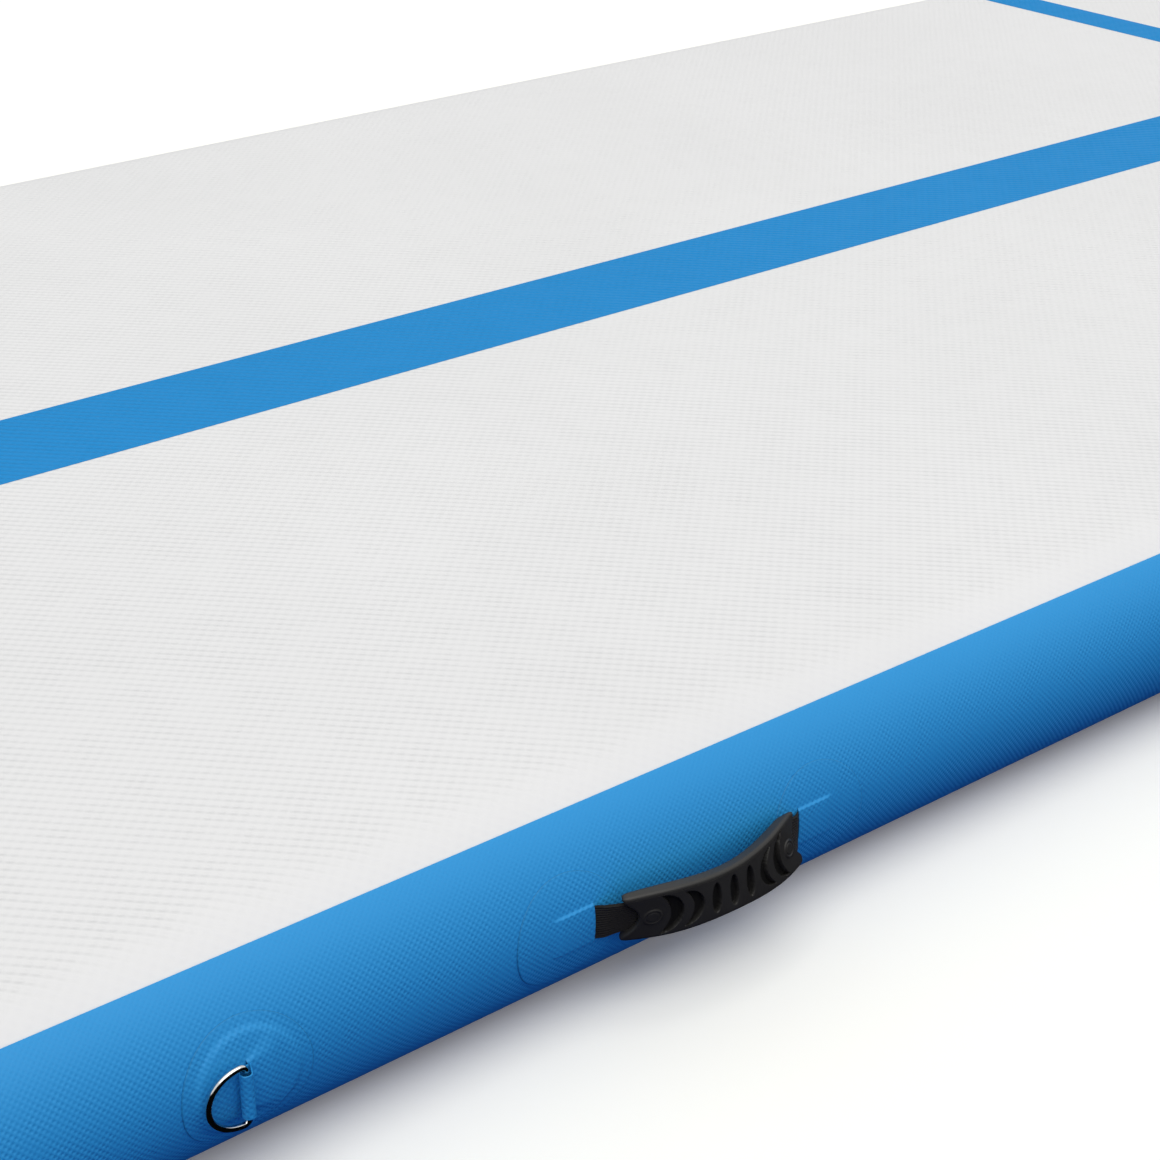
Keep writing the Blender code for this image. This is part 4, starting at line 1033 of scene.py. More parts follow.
@dataclass
class SlitDisc:
    """A round coated patch with a straight slit; the strap or loop comes out from under its raised side.

    Rows run along the wall, so that the edges of the raised band lie on grid lines. A row is cut at
    the slit, which leaves two closed sheets that meet there.

    Attributes:
        shape: the mat that it lies on.
        radius: radius of the patch.
        slit: place of the slit along the wall; the raised side is towards -u.
        band: half width of the raised band.
        band_fade: width of the slope at the band's edges.
        band_rise: height of the raised band.
        tail: length of the raised band from the slit.
        tail_fade: length of the slope at its end.
        disc: radius of a disc under the patch, or 0.
        disc_rise: height that the disc adds.
        spread: how much the slope widens for each metre away from the slit.
        disc_slope: where the slope over the disc's edge starts and ends, from that edge.
        base: height of the patch's face over the wall.
        skin: thickness of the patch.
        least: least height of its face.
        rim: width of the rounded rim.
        slit_gap: width of the slit.
        mark: where the painted shade line along a cut edge starts to fade and ends.
        slit_most: largest share of a row that lies on the slit's raised side.
        fine: room beside the slope over which the rows are close.
        steps: rows over the disc, rows over a slope, and columns.
    """

    shape: MatShape
    radius: float
    slit: float
    band: float
    band_fade: float
    band_rise: float
    tail: float
    tail_fade: float
    disc: float = 0.0
    disc_rise: float = 0.0
    spread: float = 0.0
    disc_slope: tuple[float, float] = (-0.5 * MM, 2.5 * MM)
    base: float = 0.6 * MM
    skin: float = 0.45 * MM
    least: float = 0.02 * MM
    rim: float = 0.5 * MM
    slit_gap: float = 0.03 * MM
    mark: tuple[float, float] = (0.2 * MM, 0.7 * MM)
    slit_most: float = 0.98
    fine: float = 0.5 * MM
    steps: tuple[int, int, int] = (57, 13, 41)

    def height(self, u: Array, v: Array, raised: bool) -> Array:
        """Return the height of the patch's face over the wall.

        It is the base, plus the band's rise times a plateau across it and a fade at the tail's end,
        plus the rise of the disc; near the rim it is taken down by sqrt(1 - (1 - d/e)^2).

        Args:
            u: places along the wall, from the patch's middle.
            v: places up the wall's curve.
            raised: True on the side of the slit with the raised band.

        Returns:
            Heights.
        """
        rise = np.full_like(u, self.base)
        if raised:
            ended = 1.0 - ease((self.slit - self.tail - u) / self.tail_fade)
            fade = self.band_fade + self.spread * np.maximum(self.slit - u, 0.0)
            rise = rise + self.band_rise * plateau(v, self.band, self.band + fade) * ended
        if self.disc:
            full, zero = (self.disc + slope for slope in self.disc_slope)
            rise = rise + self.disc_rise * plateau(np.hypot(u, v), full, zero)
        return np.maximum(rise * bullnose(self.radius - np.hypot(u, v), self.rim), self.least)

    def half(self, v: Array, raised: bool) -> Surface:
        """Return the sheet on one side of the slit, as a closed shell over rows of constant v.

        Args:
            v: place of each row up the wall's curve.
            raised: True for the side with the raised band.

        Returns:
            The closed sheet, with painted shade along its cut edges.
        """
        chord = np.sqrt(np.maximum(self.radius ** 2 - v ** 2, 0.0))[:, None]
        cut = np.minimum(self.slit, self.slit_most * chord)
        begin, end = (-chord, cut) if raised else (cut + self.slit_gap * (chord > MM), chord)
        u = begin + (end - begin) * (0.5 - 0.5 * np.cos(np.linspace(0, np.pi, self.steps[2])))
        v = np.broadcast_to(v[:, None], u.shape)
        face = self.height(u, v, raised)
        under = np.maximum(face - self.skin, self.least / 2)
        # painted shade: a dark line along the rim and along the slit's cut edge
        full, zero = self.mark
        dark = plateau(self.radius - np.hypot(u, v), full, zero)
        slit_shade = plateau(u - self.slit, 0.0, zero - full) * (np.abs(v) < self.band + self.band_fade)
        coords = stacked(u, v, np.maximum(dark, slit_shade))
        return Surface.shell(self.shape.on_wall(u, v, face), self.shape.on_wall(u, v, under), coords)

    def surface(self) -> Surface:
        """Return the patch, with close rows over the slopes of its raised band.

        Returns:
            Both sheets in the patch's local frame.
        """
        arc = self.radius * np.sin(np.linspace(-np.pi / 2, np.pi / 2, self.steps[0]))
        slope = np.linspace(self.band - self.fine, self.band + self.band_fade + self.fine, self.steps[1])
        v = np.unique(np.concatenate([arc, -slope, slope]).round(7))
        return self.half(v, True) + self.half(v, False)


@dataclass
class Fitting:
    """What carry handles and tie-down rings share: a body, the mat that carries it and a place.

    Attributes:
        name: the fitting's body.
        shape: the mat that carries it.
        place: its matrix; local X runs along the wall and -Y outwards.
    """

    name: str
    shape: MatShape
    place: Array

    def put(self, surface: Surface, piece: str, node: str, finish: Finish, body: str = "mat",
            sharp: float = FITTING_SHARP, rides: bool = True) -> bpy.types.Object:
        """Show a piece at the fitting's place; its name and its solid's name follow the fitting's own.

        Args:
            surface: the piece's surface in the fitting's local frame.
            piece: last part of the piece's name.
            node: last part of the name of the solid that it replaces.
            finish: its material.
            body: body that it moves with.
            sharp: angle in degrees past which an edge is shaded hard.
            rides: False to leave the piece attached to no body, as for one that spans two bodies.

        Returns:
            The piece.
        """
        return show(surface.moved(self.place), f"{self.name}_{piece}", finish, body, f"{self.name}_{node}",
                    sharp, rides)

    def lay(self, surface: Surface, piece: str, node: str, radius: float, sharp: float, *under: str) -> None:
        """Lay a round coated patch on the wall.

        Args:
            surface: the patch in the fitting's local frame.
            piece: last part of the piece's name.
            node: last part of the name of the solid that it replaces.
            radius: not used.
            sharp: angle in degrees past which an edge is shaded hard.
            under: not used.
        """
        item = self.put(surface, piece, node, WALL_COAT, sharp=sharp)


@dataclass
class CarryHandle(Fitting):
    """One carry handle: two patches, the webbing between them and the moulded grip."""

    slit_x: float = 58.5 * MM
    patch_offset: float = 13 * MM
    patch_radius: float = 27.5 * MM
    strap_width: float = 17 * MM
    strap_skin: float = 1.6 * MM
    strap_tail: float = 17 * MM
    strap_rest: float = 1.1 * MM
    strap_hidden: float = 4 * MM
    strap_slack: float = 3 * MM
    strap_edge: float = 0.7 * MM
    cord: float = 0.12 * MM
    cord_base: float = 0.1 * MM
    tail_skin: float = 0.9 * MM
    tail_drop: float = 0.5 * MM
    tail_press: float = 4 * MM
    tail_room: float = 0.2 * MM
    bow: float = 17.6 * MM
    power: float = 2.05
    lift: float = 2.7 * MM
    lift_power: int = 6
    twist: tuple[float, float, float] = (math.radians(7.6), math.radians(13.9), math.radians(-4.2))
    twist_reach: float = 45 * MM
    twist_full: float = 47 * MM
    slide: float = 1.2 * MM
    half_length: float = 43.7 * MM
    horn: float = 11.2 * MM
    horn_power: float = 2.1
    end_width: float = 25.6 * MM
    end_corner: float = 5.5 * MM
    end_edge: float = 1.0 * MM
    waist_width: float = 21.6 * MM
    widest_at: float = 0.85
    thinner_from: float = 0.5
    half_skin: float = 3.4 * MM
    end_half_skin: float = 2.7 * MM
    edge: float = 1.9 * MM
    edge_left: float = 0.2 * MM
    crown: float = 0.35 * MM
    tunnel_gap: float = 0.5 * MM
    tunnel_back: float = 0.6 * MM
    pocket_depth: float = 2.3 * MM
    pocket_edge: float = 0.4 * MM
    lens_pitch: float = 9.4 * MM
    lens_height: float = 7.3 * MM
    lens_width: float = 2.4 * MM
    crescents: tuple[tuple[float, ...], ...] = ((24.8 * MM, 8.9 * MM, 4.4 * MM, 9.2 * MM),
                                                (35.2 * MM, 10.3 * MM, 4.4 * MM, 10.1 * MM))
    boss_x: float = 38.3 * MM
    boss_radius: float = 4.0 * MM
    boss_rise: float = 0.6 * MM
    boss_slope: tuple[float, float] = (-0.5 * MM, 0.3 * MM)
    groove: float = 0.4 * MM
    groove_at: float = 0.7
    swing: float = math.radians(18)
    swing_room: float = 1.4 * MM
    push_share: float = 0.4
    push_soft: float = 0.4 * MM
    strap_steps: tuple[int, int, int, int] = (12, 30, 10, 121)
    grip_steps: tuple[int, int, int] = (321, 19, 25)
    loop_steps: tuple[int, int, int, int] = (97, 6, 21, 9)
    mouth: tuple[float, float] = (0.25, 0.6)

    def out(self, x: Array) -> tuple[Array, Array]:
        """Return how far the strap's middle stands off the wall at x, and its slope.

        Between the slits it is the rest height plus bow (1 - (|x| / slit)^power).

        Args:
            x: places along the wall from the handle's middle.

        Returns:
            Distances and slopes.
        """
        share = np.minimum(np.abs(x) / self.slit_x, 1.0)
        slope = -self.bow * self.power * share ** (self.power - 1) * np.sign(x) / self.slit_x
        slope = np.where(np.abs(x) >= self.slit_x, 0.0, slope)
        return self.strap_rest + self.bow * (1 - share ** self.power), slope

    def strap_point(self, x: Array, v: Array, offset: Array) -> Array:
        """Return local points at x along the strap, v up and an offset along its normal.

        The handle hangs a little twisted: v and the offset are turned by t0 + t1 s + t2 s^2 with s = x
        over the twist's reach, which fades out at the slits. The middle is lifted by
        lift (1 - share^power), where the share of the way to the slit is 0 in the middle.

        Args:
            x: places along the strap.
            v: places across it.
            offset: distance from its middle, outwards.

        Returns:
            Points, with the arguments' broadcast shape and a last axis of 3.
        """
        x, v, offset = np.broadcast_arrays(x, v, offset)
        out, slope = self.out(x)
        size = np.hypot(1.0, slope)
        s = x / self.twist_reach
        turn = self.twist[0] + self.twist[1] * s + self.twist[2] * s * s
        turn = turn * plateau(x, self.twist_full, self.slit_x)
        rise = self.lift * (1 - np.minimum(np.abs(x) / self.slit_x, 1.0) ** self.lift_power)
        up, away = v * np.cos(turn) + offset * np.sin(turn), offset * np.cos(turn) - v * np.sin(turn)
        return stacked(x - slope / size * away, -(out + away / size), up + rise)

    def patch(self) -> SlitDisc:
        """Return the patch over one strap tail.

        Returns:
            The patch in its own frame, with its raised side towards -u.
        """
        band = self.strap_width / 2 + self.tail_room
        return SlitDisc(self.shape, self.patch_radius, self.patch_offset, band=band, band_fade=1.5 * MM,
                        band_rise=0.85 * MM, tail=self.strap_tail, tail_fade=5 * MM)

    def strap_half(self, sign: float) -> Surface:
        """Return half of the webbing, from its tail to the middle of the grip.

        The section is a flat loop whose faces carry rounded cords, c |sin(pi v / rib)| high. It
        follows the wall's curve where it lies on the wall, and is pressed thinner under its patch.

        Args:
            sign: -1 for the half towards -x, 1 for the other.

        Returns:
            The closed surface with length and width as coordinates.
        """
        half, bare = self.strap_width / 2, self.half_length - self.strap_hidden
        hidden, shown, under_patch, columns = self.strap_steps
        x = spaced((0.0, bare, hidden), (bare, self.slit_x, shown),
                   (self.slit_x, self.slit_x + self.strap_tail, under_patch))[:, None]
        v = np.linspace(-half, half, columns)
        ridge = self.cord * np.abs(np.sin(np.pi * v / STRAP_WEB.rib))
        press = 1 - ease((self.slit_x - x) / self.tail_press)
        half_skin = self.strap_skin / 2 + (self.tail_skin - self.strap_skin) / 2 * press
        level = (half_skin - self.cord_base + ridge) * bullnose(half - np.abs(v), self.strap_edge)
        drop = press * (self.tail_drop + v ** 2 / (2 * self.shape.wall_radius))
        drop = drop + self.tunnel_back * plateau(x, bare, self.slit_x)
        face, under = (self.strap_point(sign * x, v, side * level) + stacked(0.0, drop, 0.0)
                       for side in (1, -1))
        return Surface.shell(face, under, stacked(sign * x, v))

    def pocket(self, x: Array, v: Array) -> Array:
        """Return how deep the grip's face is cut at x along it and v across.

        A lens lies within w sqrt(1 - t^2) of its middle, and a crescent between the bows
        tip - outer sqrt(1 - t^2) and tip - inner (1 - t^2), where t is v over the half height. The
        depth eases in over the edge.

        Args:
            x: places along the grip.
            v: places across it.

        Returns:
            Depths.
        """
        lens = self.lens_width * np.sqrt(np.maximum(1 - (v / self.lens_height) ** 2, 0.0))
        inside = np.maximum(-1.0, lens - np.min([np.abs(x - k * self.lens_pitch) for k in (-1, 0, 1)], axis=0))
        for tip, tall, inner, outer in self.crescents:
            bend = np.maximum(1 - (v / tall) ** 2, 0.0)
            near, far = tip - outer * np.sqrt(bend), tip - inner * bend
            inside = np.maximum(inside, np.minimum(np.abs(x) - near, far - np.abs(x)))
        return self.pocket_depth * ease(inside / self.pocket_edge)

    def boss(self, x: Array, v: Array) -> Array:
        """Return the rise of the two round bosses: a low button with a ring groove, g exp(-(d/g)^2) deep.

        Args:
            x: places along the grip.
            v: places across it.

        Returns:
            Heights, below 0 in the groove.
        """
        r = np.hypot(np.abs(x) - self.boss_x, v)
        full, zero = (self.boss_radius + slope for slope in self.boss_slope)
        groove = self.groove * np.exp(-((r - self.groove_at * self.boss_radius) / self.groove) ** 2)
        return self.boss_rise * plateau(r, full, zero) - groove

    def grip(self) -> Surface:
        """Return the grip as one closed sleeve.

        A rounded-box section is carried along the strap's line and back through the tunnel. The half
        width eases from the waist to the ends, the half thickness eases thinner, the ends reach
        further at the edges, and the front face takes the pockets and bosses.

        Returns:
            The closed sleeve, with the share of painted shade as its third coordinate: 1 at the bottom of a
            pocket.
        """
        rows, end_rows, tunnel_rows = self.grip_steps
        start = 1 - self.end_corner / self.half_length
        close = start + (1 - start) * np.sin(np.linspace(0, np.pi / 2, end_rows))[1:]
        share = np.concatenate([-close[::-1], np.linspace(-start, start, rows), close])[:, None]
        half, skin = self.section(share)
        v, n, angle, front = self.loop()
        corner_v, corner_n = np.cos(angle), np.sin(angle)
        edge = np.minimum(self.edge, skin - self.edge_left)
        vs = v * (half - edge) + corner_v * edge
        ns = n * (skin - edge) + corner_n * edge
        ns = ns + front * self.crown * (1 - np.clip(vs / half, -1, 1) ** 2)
        x = share * (self.half_length + self.reach(vs))
        cut = front * self.pocket(x, vs)
        outer = self.cleared(self.strap_point(x + self.slide, vs, ns + front * self.boss(x, vs) - cut))
        wide, tall = self.strap_width / 2 + self.tunnel_gap, self.strap_skin / 2 + self.tunnel_gap
        vt, nt = np.clip(v + corner_v, -1, 1) * wide, np.clip(n + corner_n, -1, 1) * tall
        xt = np.linspace(1, -1, tunnel_rows)[:, None] * (self.half_length + self.reach(vt))
        tunnel = self.cleared(self.strap_point(xt + self.slide, vt, nt - self.tunnel_back))
        right = [outer[-1:] * (1 - k) + tunnel[:1] * k for k in self.mouth]
        left = [outer[:1] * (1 - k) + tunnel[-1:] * k for k in self.mouth[::-1]]
        points = np.concatenate([outer, *right, tunnel, *left, outer[:1]])
        # painted shade: the colour darkens in a pocket as it deepens
        coords = np.zeros_like(points)
        coords[:len(outer), :, 2] = ease(cut / self.pocket_depth)
        return Surface.grid(points, coords)

    def cleared(self, points: Array) -> Array:
        """Return local grip points moved outwards where a swing of the handle would press them into the wall.

        At each end of the swing a point's height is its distance from the wall's centre line less the
        wall's radius. Most of what that lacks of the room is added outwards, which pares the back:
        the push is a share of lack + sqrt(lack^2 + soft^2).

        Args:
            points: local points of the grip at rest.

        Returns:
            The points, with those that lack room moved.
        """
        out, up = -points[..., 1] - self.strap_rest, points[..., 2]
        lack = np.full_like(out, -1.0)
        for turn in (-self.swing, self.swing):
            away = self.shape.wall_radius + self.strap_rest + out * math.cos(turn) - up * math.sin(turn)
            height = np.hypot(away, up * math.cos(turn) + out * math.sin(turn)) - self.shape.wall_radius
            lack = np.maximum(lack, self.swing_room - height)
        push = self.push_share * (lack + np.sqrt(lack ** 2 + self.push_soft ** 2))
        return points - push[..., None] * (0, 1, 0)

    def reach(self, v: Array) -> Array:
        """Return how much further the fishtail ends reach at v, horn (2 |v| / width)^power."""
        return self.horn * np.minimum(np.abs(v) / (self.end_width / 2), 1.0) ** self.horn_power

    def section(self, share: Array) -> tuple[Array, Array]:
        """Return the grip's half width and half thickness at shares of its half length.

        Both ease from the middle to the ends, and each is taken in by r (1 - sqrt(1 - t^2)) where t runs
        from 0 to 1 over the last r of the length, which rounds the ends.

        Args:
            share: places from -1 at one end to 1 at the other.

        Returns:
            Half widths and half thicknesses.
        """
        wide = ease(np.abs(share) / self.widest_at)
        thin = ease((np.abs(share) - self.thinner_from) / (1 - self.thinner_from))
        half = (self.waist_width + (self.end_width - self.waist_width) * wide) / 2
        skin = self.half_skin + (self.end_half_skin - self.half_skin) * thin
        left = self.half_length * (1 - np.abs(share))
        taken = [r * (1 - bullnose(left, r)) for r in (self.end_corner, self.end_edge)]
        return half - taken[0], skin - taken[1]

    def loop(self) -> tuple[Array, ...]:
        """Return the grip's section as a loop of straight parts and rounded corners.

        Returns:
            Unit places across and through, the angle in which a corner's radius points, and 1 on the
            front face.
        """
        front, side, back, bend = self.loop_steps
        h, q = np.pi / 2, np.linspace(0, np.pi / 2, bend)
        runs = ((np.linspace(-1, 1, front), 1.0, h, 1.0), (1.0, 1.0, h - q, 0.0),
                (1.0, np.linspace(1, -1, side), 0.0, 0.0), (1.0, -1.0, -q, 0.0),
                (np.linspace(1, -1, back), -1.0, -h, 0.0), (-1.0, -1.0, -h - q, 0.0),
                (-1.0, np.linspace(-1, 1, side), 2 * h, 0.0), (-1.0, 1.0, 2 * h - q, 0.0),
                ([-1.0], 1.0, h, 1.0))
        return tuple(np.concatenate([stacked(*run) for run in runs]).T)

    def build(self) -> None:
        """Build the handle's pieces and put them into the frame."""
        disc = self.patch()
        offset = self.slit_x + self.patch_offset
        for label, at, flip in (("a", -offset, 0.0), ("b", offset, math.pi)):
            placed = disc.surface().moved(placement((at, 0, 0), 0.0, flip))
            self.lay(placed, f"round_patch_{label}", f"patch_{label}", disc.radius, PATCH_SHARP)
        for label, sign in (("a", -1.0), ("b", 1.0)):
            item = self.put(self.strap_half(sign), f"webbing_{label}", "strap", STRAP_WEB, self.name,
                            rides=False)
            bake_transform(item)
        self.put(self.grip(), "sleeve", "grip", GRIP_RUBBER, self.name)


@dataclass
class TieRing(Fitting):
    """One tie-down ring: a steel D in a strap loop, held by a round cover over a reinforcing disc.

    The ring's bar is on local Z and its bow is towards -X.
    """

    wire: float = 1.3 * MM
    half_height: float = 13.5 * MM
    depth: float = 17 * MM
    corner: float = 2.4 * MM
    bar_out: float = 5.25 * MM
    disc: float = 22 * MM
    disc_levels: tuple[float, float] = (0.75 * MM, 0.05 * MM)
    cover: float = 29 * MM
    shift: float = 3.5 * MM
    slit: float = 3 * MM
    loop_width: float = 21 * MM
    loop_skin: float = 0.6 * MM
    loop_gap: float = 0.9 * MM
    loop_edge: float = 0.6 * MM
    loop_rim: float = 0.5 * MM
    loop_room: float = 0.1 * MM
    loop_arc: tuple[float, float] = (-75.0, -325.0)
    leg_heights: tuple[float, float] = (1.15 * MM, 1.8 * MM)
    leg_flat: float = 7 * MM
    leg_rise: float = 0.1 * MM
    lower_bend: float = 3.4 * MM
    upper_bend: float = 4.6 * MM
    upper_turn: tuple[float, float] = (3.2 * MM, 3.8 * MM)
    loop_tail: float = 12 * MM
    hug_from: float = 2 * MM
    hug_fade: float = 4 * MM
    loop_least: float = 0.1
    disc_steps: tuple[int, int] = (12, 65)
    loop_steps: tuple[int, int, int] = (33, 121, 16)
    ring_steps: tuple[int, int, int] = (13, 97, 25)

    def cover_disc(self) -> SlitDisc:
        """Return the cover over the loop's tail and the reinforcing disc.

        Returns:
            The cover in a frame whose raised side is towards -u.
        """
        band = self.loop_width / 2 + self.loop_room
        return SlitDisc(self.shape, self.cover, self.shift - self.slit, band=band, band_fade=0.9 * MM,
                        band_rise=0.95 * MM, tail=self.loop_tail - self.slit, tail_fade=8 * MM,
                        disc=self.disc, disc_rise=0.95 * MM, spread=0.8)

    def base(self) -> Surface:
        """Return the reinforcing disc that lies under the cover.

        Returns:
            A closed sheet over polar rows.
        """
        r = self.disc * np.linspace(0, 1, self.disc_steps[0])[:, None]
        angle = np.linspace(0, 2 * np.pi, self.disc_steps[1])
        face, under = (self.shape.on_wall(self.shift + r * np.cos(angle), r * np.sin(angle), level)
                       for level in self.disc_levels)
        return Surface.grid(np.concatenate([face, under[::-1]]))

    def loop(self) -> Surface:
        """Return the strap loop: a strip whose middle line goes under the bar, around it and back.

        The line is a lower leg, an arc of 250 degrees about the bar and an upper leg, smoothed by a
        running mean with weights 1 2 3 2 1; the strip's faces lie half its thickness to either side,
        and the legs follow the wall's curve.

        Returns:
            The closed strip with length and width as coordinates.
        """
        middle = self.wire + self.loop_gap + self.loop_skin / 2
        arc_steps, rows, columns = self.loop_steps
        arc = np.radians(np.linspace(*self.loop_arc, arc_steps))
        low, high = self.leg_heights
        knots = np.concatenate([
            [[self.loop_tail, low], [self.leg_flat, low], [self.lower_bend, low + self.leg_rise]],
            stacked(middle * np.cos(arc), self.bar_out + middle * np.sin(arc)),
            [self.upper_turn, [self.upper_bend, high + self.leg_rise], [self.leg_flat, high],
             [self.loop_tail, high]]])
        run = travelled(knots)
        fine = np.linspace(0, run[-1], rows)
        line = np.pad(stacked(*(np.interp(fine, run, part) for part in knots.T)), ((2, 2), (0, 0)), mode="edge")
        weights = np.array([1, 2, 3, 2, 1]) / 9
        line = stacked(*(np.convolve(part, weights, mode="valid") for part in line.T))
        tangent = unit(np.gradient(line, axis=0))
        normal = stacked(-tangent[:, 1], tangent[:, 0])
        half = self.loop_width / 2
        v = edged(half, self.loop_edge, columns)
        level = self.loop_skin / 2 * np.maximum(bullnose(half - np.abs(v), self.loop_rim), self.loop_least)
        layers = []
        for side in (1, -1):
            place = line[:, None, :] + side * normal[:, None, :] * level[:, None]
            hug = ease((place[..., 0] - self.hug_from) / self.hug_fade) * v ** 2 / (2 * self.shape.wall_radius)
            layers.append(stacked(place[..., 0], hug - place[..., 1], v))
        return Surface.shell(layers[0], layers[1], stacked(fine[:, None], v))

    def ring(self) -> Surface:
        """Return the D: a round wire carried along a bar, two tight corners and an elliptic bow.

        Returns:
            The closed wire.
        """
        b, r = self.half_height, self.corner
        bend_steps, bow_steps, wire_steps = self.ring_steps
        bend = np.linspace(0, np.pi / 2, bend_steps)
        bow = np.linspace(np.pi / 2, -np.pi / 2, bow_steps)[1:-1]
        line = np.concatenate([stacked(-r + r * np.cos(bend), b - r + r * np.sin(bend)),
                               stacked(-r - (self.depth - r) * np.cos(bow), b * np.sin(bow)),
                               stacked(-r + r * np.sin(bend), r - b - r * np.cos(bend))])
        tangent = unit(np.roll(line, -1, axis=0) - np.roll(line, 1, axis=0))
        turn = np.linspace(0, 2 * np.pi, wire_steps)
        side = self.wire * np.cos(turn)
        points = stacked(line[:, :1] + side * tangent[:, 1:], self.wire * np.sin(turn) - self.bar_out,
                         line[:, 1:] - side * tangent[:, :1])
        return Surface.grid(np.concatenate([points, points[:1]]))

    def build(self) -> None:
        """Build the ring's pieces and put them into the frame."""
        self.lay(self.base(), "inner_disc", "base", self.disc, SHARP)
        disc = self.cover_disc()
        placed = disc.surface().moved(placement((self.shift, 0, 0), 0.0, math.pi))
        self.lay(placed, "round_cover", "cover", disc.radius, PATCH_SHARP, f"{self.name}_inner_disc")
        item = self.put(self.loop(), "strip_loop", "loop", WALL_COAT, sharp=PATCH_SHARP)
        self.put(self.ring(), "d_wire", "wire", RING_STEEL, self.name)


# Valve


@dataclass
class Valve:
    """The inflation valve in the end wall, in a local frame whose Z points outwards from the flat."""

    shape: MatShape
    steps: int = 96
    flange_radius: float = 29.5 * MM
    flange_base: float = 1.5 * MM
    flange_top: float = 4.2 * MM
    flange_step: float = 0.5 * MM
    flange_land: tuple[float, float, float] = (5 * MM, 4.2 * MM, 1.2 * MM)
    flange_bevel: float = 1.5 * MM
    body_round: float = 0.5 * MM
    cap_round: float = 0.45 * MM
    stem_round: float = 0.4 * MM
    washer_round: float = 0.25 * MM
    gasket: tuple[float, float] = (0.2 * MM, 1.3 * MM)
    barrel_radius: float = 20 * MM
    barrel_depth: float = 24 * MM
    bore: float = 14 * MM
    seat: float = 10.5 * MM
    seat_skin: float = 3 * MM
    neck: float = 17.5 * MM
    neck_top: float = 8.6 * MM
    nut_radius: float = 27 * MM
    nut: tuple[float, float] = (-10.2 * MM, -4.0 * MM)
    play: float = 0.3 * MM
    stem: float = 2.5 * MM
    button: float = 6 * MM
    button_skin: float = 3 * MM
    button_top: float = -2 * MM
    button_dish: tuple[float, float] = (1.5 * MM, 0.2 * MM)
    poppet: float = 12.6 * MM
    poppet_skin: float = 1.4 * MM
    poppet_drop: float = 2.6 * MM
    seal_skin: float = 2 * MM
    seal_lip: float = 0.4 * MM
    spring_radius: float = 4.2 * MM
    spring_wire: float = 0.45 * MM
    spring_turns: float = 4.0
    spring_foot: float = 5.6 * MM
    spring_top: float = -5.3 * MM
    spring_pressed: float = 0.48
    spring_steps: tuple[int, int] = (161, 13)
    cap_inside: float = 10 * MM
    cap_foot: float = 5.2 * MM
    cap_wall: float = 2.6 * MM
    cap_skin: float = 2 * MM
    cap_gap: float = 0.6 * MM
    cap_dish: tuple[float, float] = (12 * MM, 13 * MM)
    cap_dish_depth: float = 0.5 * MM
    cap_bevel: tuple[float, float] = (0.8 * MM, 0.9 * MM)
    cap_washer: float = 0.8 * MM
    flutes: int = 8
    flute_depth: float = 0.5 * MM

    def place(self) -> Array:
        """Return the matrix of the valve's local frame."""
        flat_x = self.shape.flat_depth - self.shape.length / 2
        return placement((flat_x, 0.0, self.shape.middle), 0.0, -math.pi / 2)

    def body(self) -> Surface:
        """Return the flange, neck and barrel.

        Returns:
            One turned profile with rounded edges.
        """
        f, top, n = self.flange_radius, self.flange_top, self.neck
        foot, ledge = self.seat_skin - self.barrel_depth, top - self.flange_step
        raised, inner, rim = (f - part for part in self.flange_land)
        outline = [(self.bore, self.neck_top), (n, self.neck_top), (n, top), (raised, top), (inner, ledge),
                   (rim, ledge), (f, top - self.flange_bevel),
                   (f, self.flange_base), (self.barrel_radius, self.flange_base),
                   (self.barrel_radius, -self.barrel_depth), (self.seat, -self.barrel_depth), (self.seat, foot),
                   (self.bore, foot)]
        return turned(rounded(outline, self.body_round), self.steps)

    def cap(self) -> Surface:
        """Return the fluted screw cap with a shallow round dish in its top.

        Returns:
            A turned profile whose outer side carries the flutes.
        """
        inside, top = self.neck + self.cap_gap, self.cap_inside + self.cap_skin
        outside, dish = inside + self.cap_wall, top - self.cap_dish_depth
        across, down = self.cap_bevel
        outline = [(self.cap_dish[0], dish), (self.cap_dish[1], top), (outside - across, top),
                   (outside, top - down), (outside, self.cap_foot), (inside, self.cap_foot),
                   (inside, self.cap_inside)]
        side = rounded(outline, self.cap_round)[:-1]
        profile = np.concatenate([[(0.0, dish)], side, [(0.0, self.cap_inside)]])
        return turned(profile, 2 * self.steps, self.flutes, self.flute_depth, inside + self.flute_depth)

    def plunger(self) -> Surface:
        """Return the push stem with its button and poppet plate.

        Returns:
            One turned profile with rounded edges.
        """
        seat, top = -self.barrel_depth - self.poppet_drop, self.button_top
        low, under = seat - self.poppet_skin, top - self.button_skin
        outline = [(self.poppet, low), (self.poppet, seat), (self.stem, seat), (self.stem, under),
                   (self.button, under), (self.button, top), (self.button_dish[0], top)]
        side = rounded(outline, self.stem_round)[:-1]
        profile = np.concatenate([[(0.0, low)], side, [(0.0, top - self.button_dish[1])]])
        return turned(profile, self.steps)

    def washer(self, inner: float, outer: float, low: float, high: float) -> Surface:
        """Return a flat ring with rounded edges."""
        outline = [(inner, low), (outer, low), (outer, high), (inner, high)]
        return turned(rounded(outline, self.washer_round), self.steps)

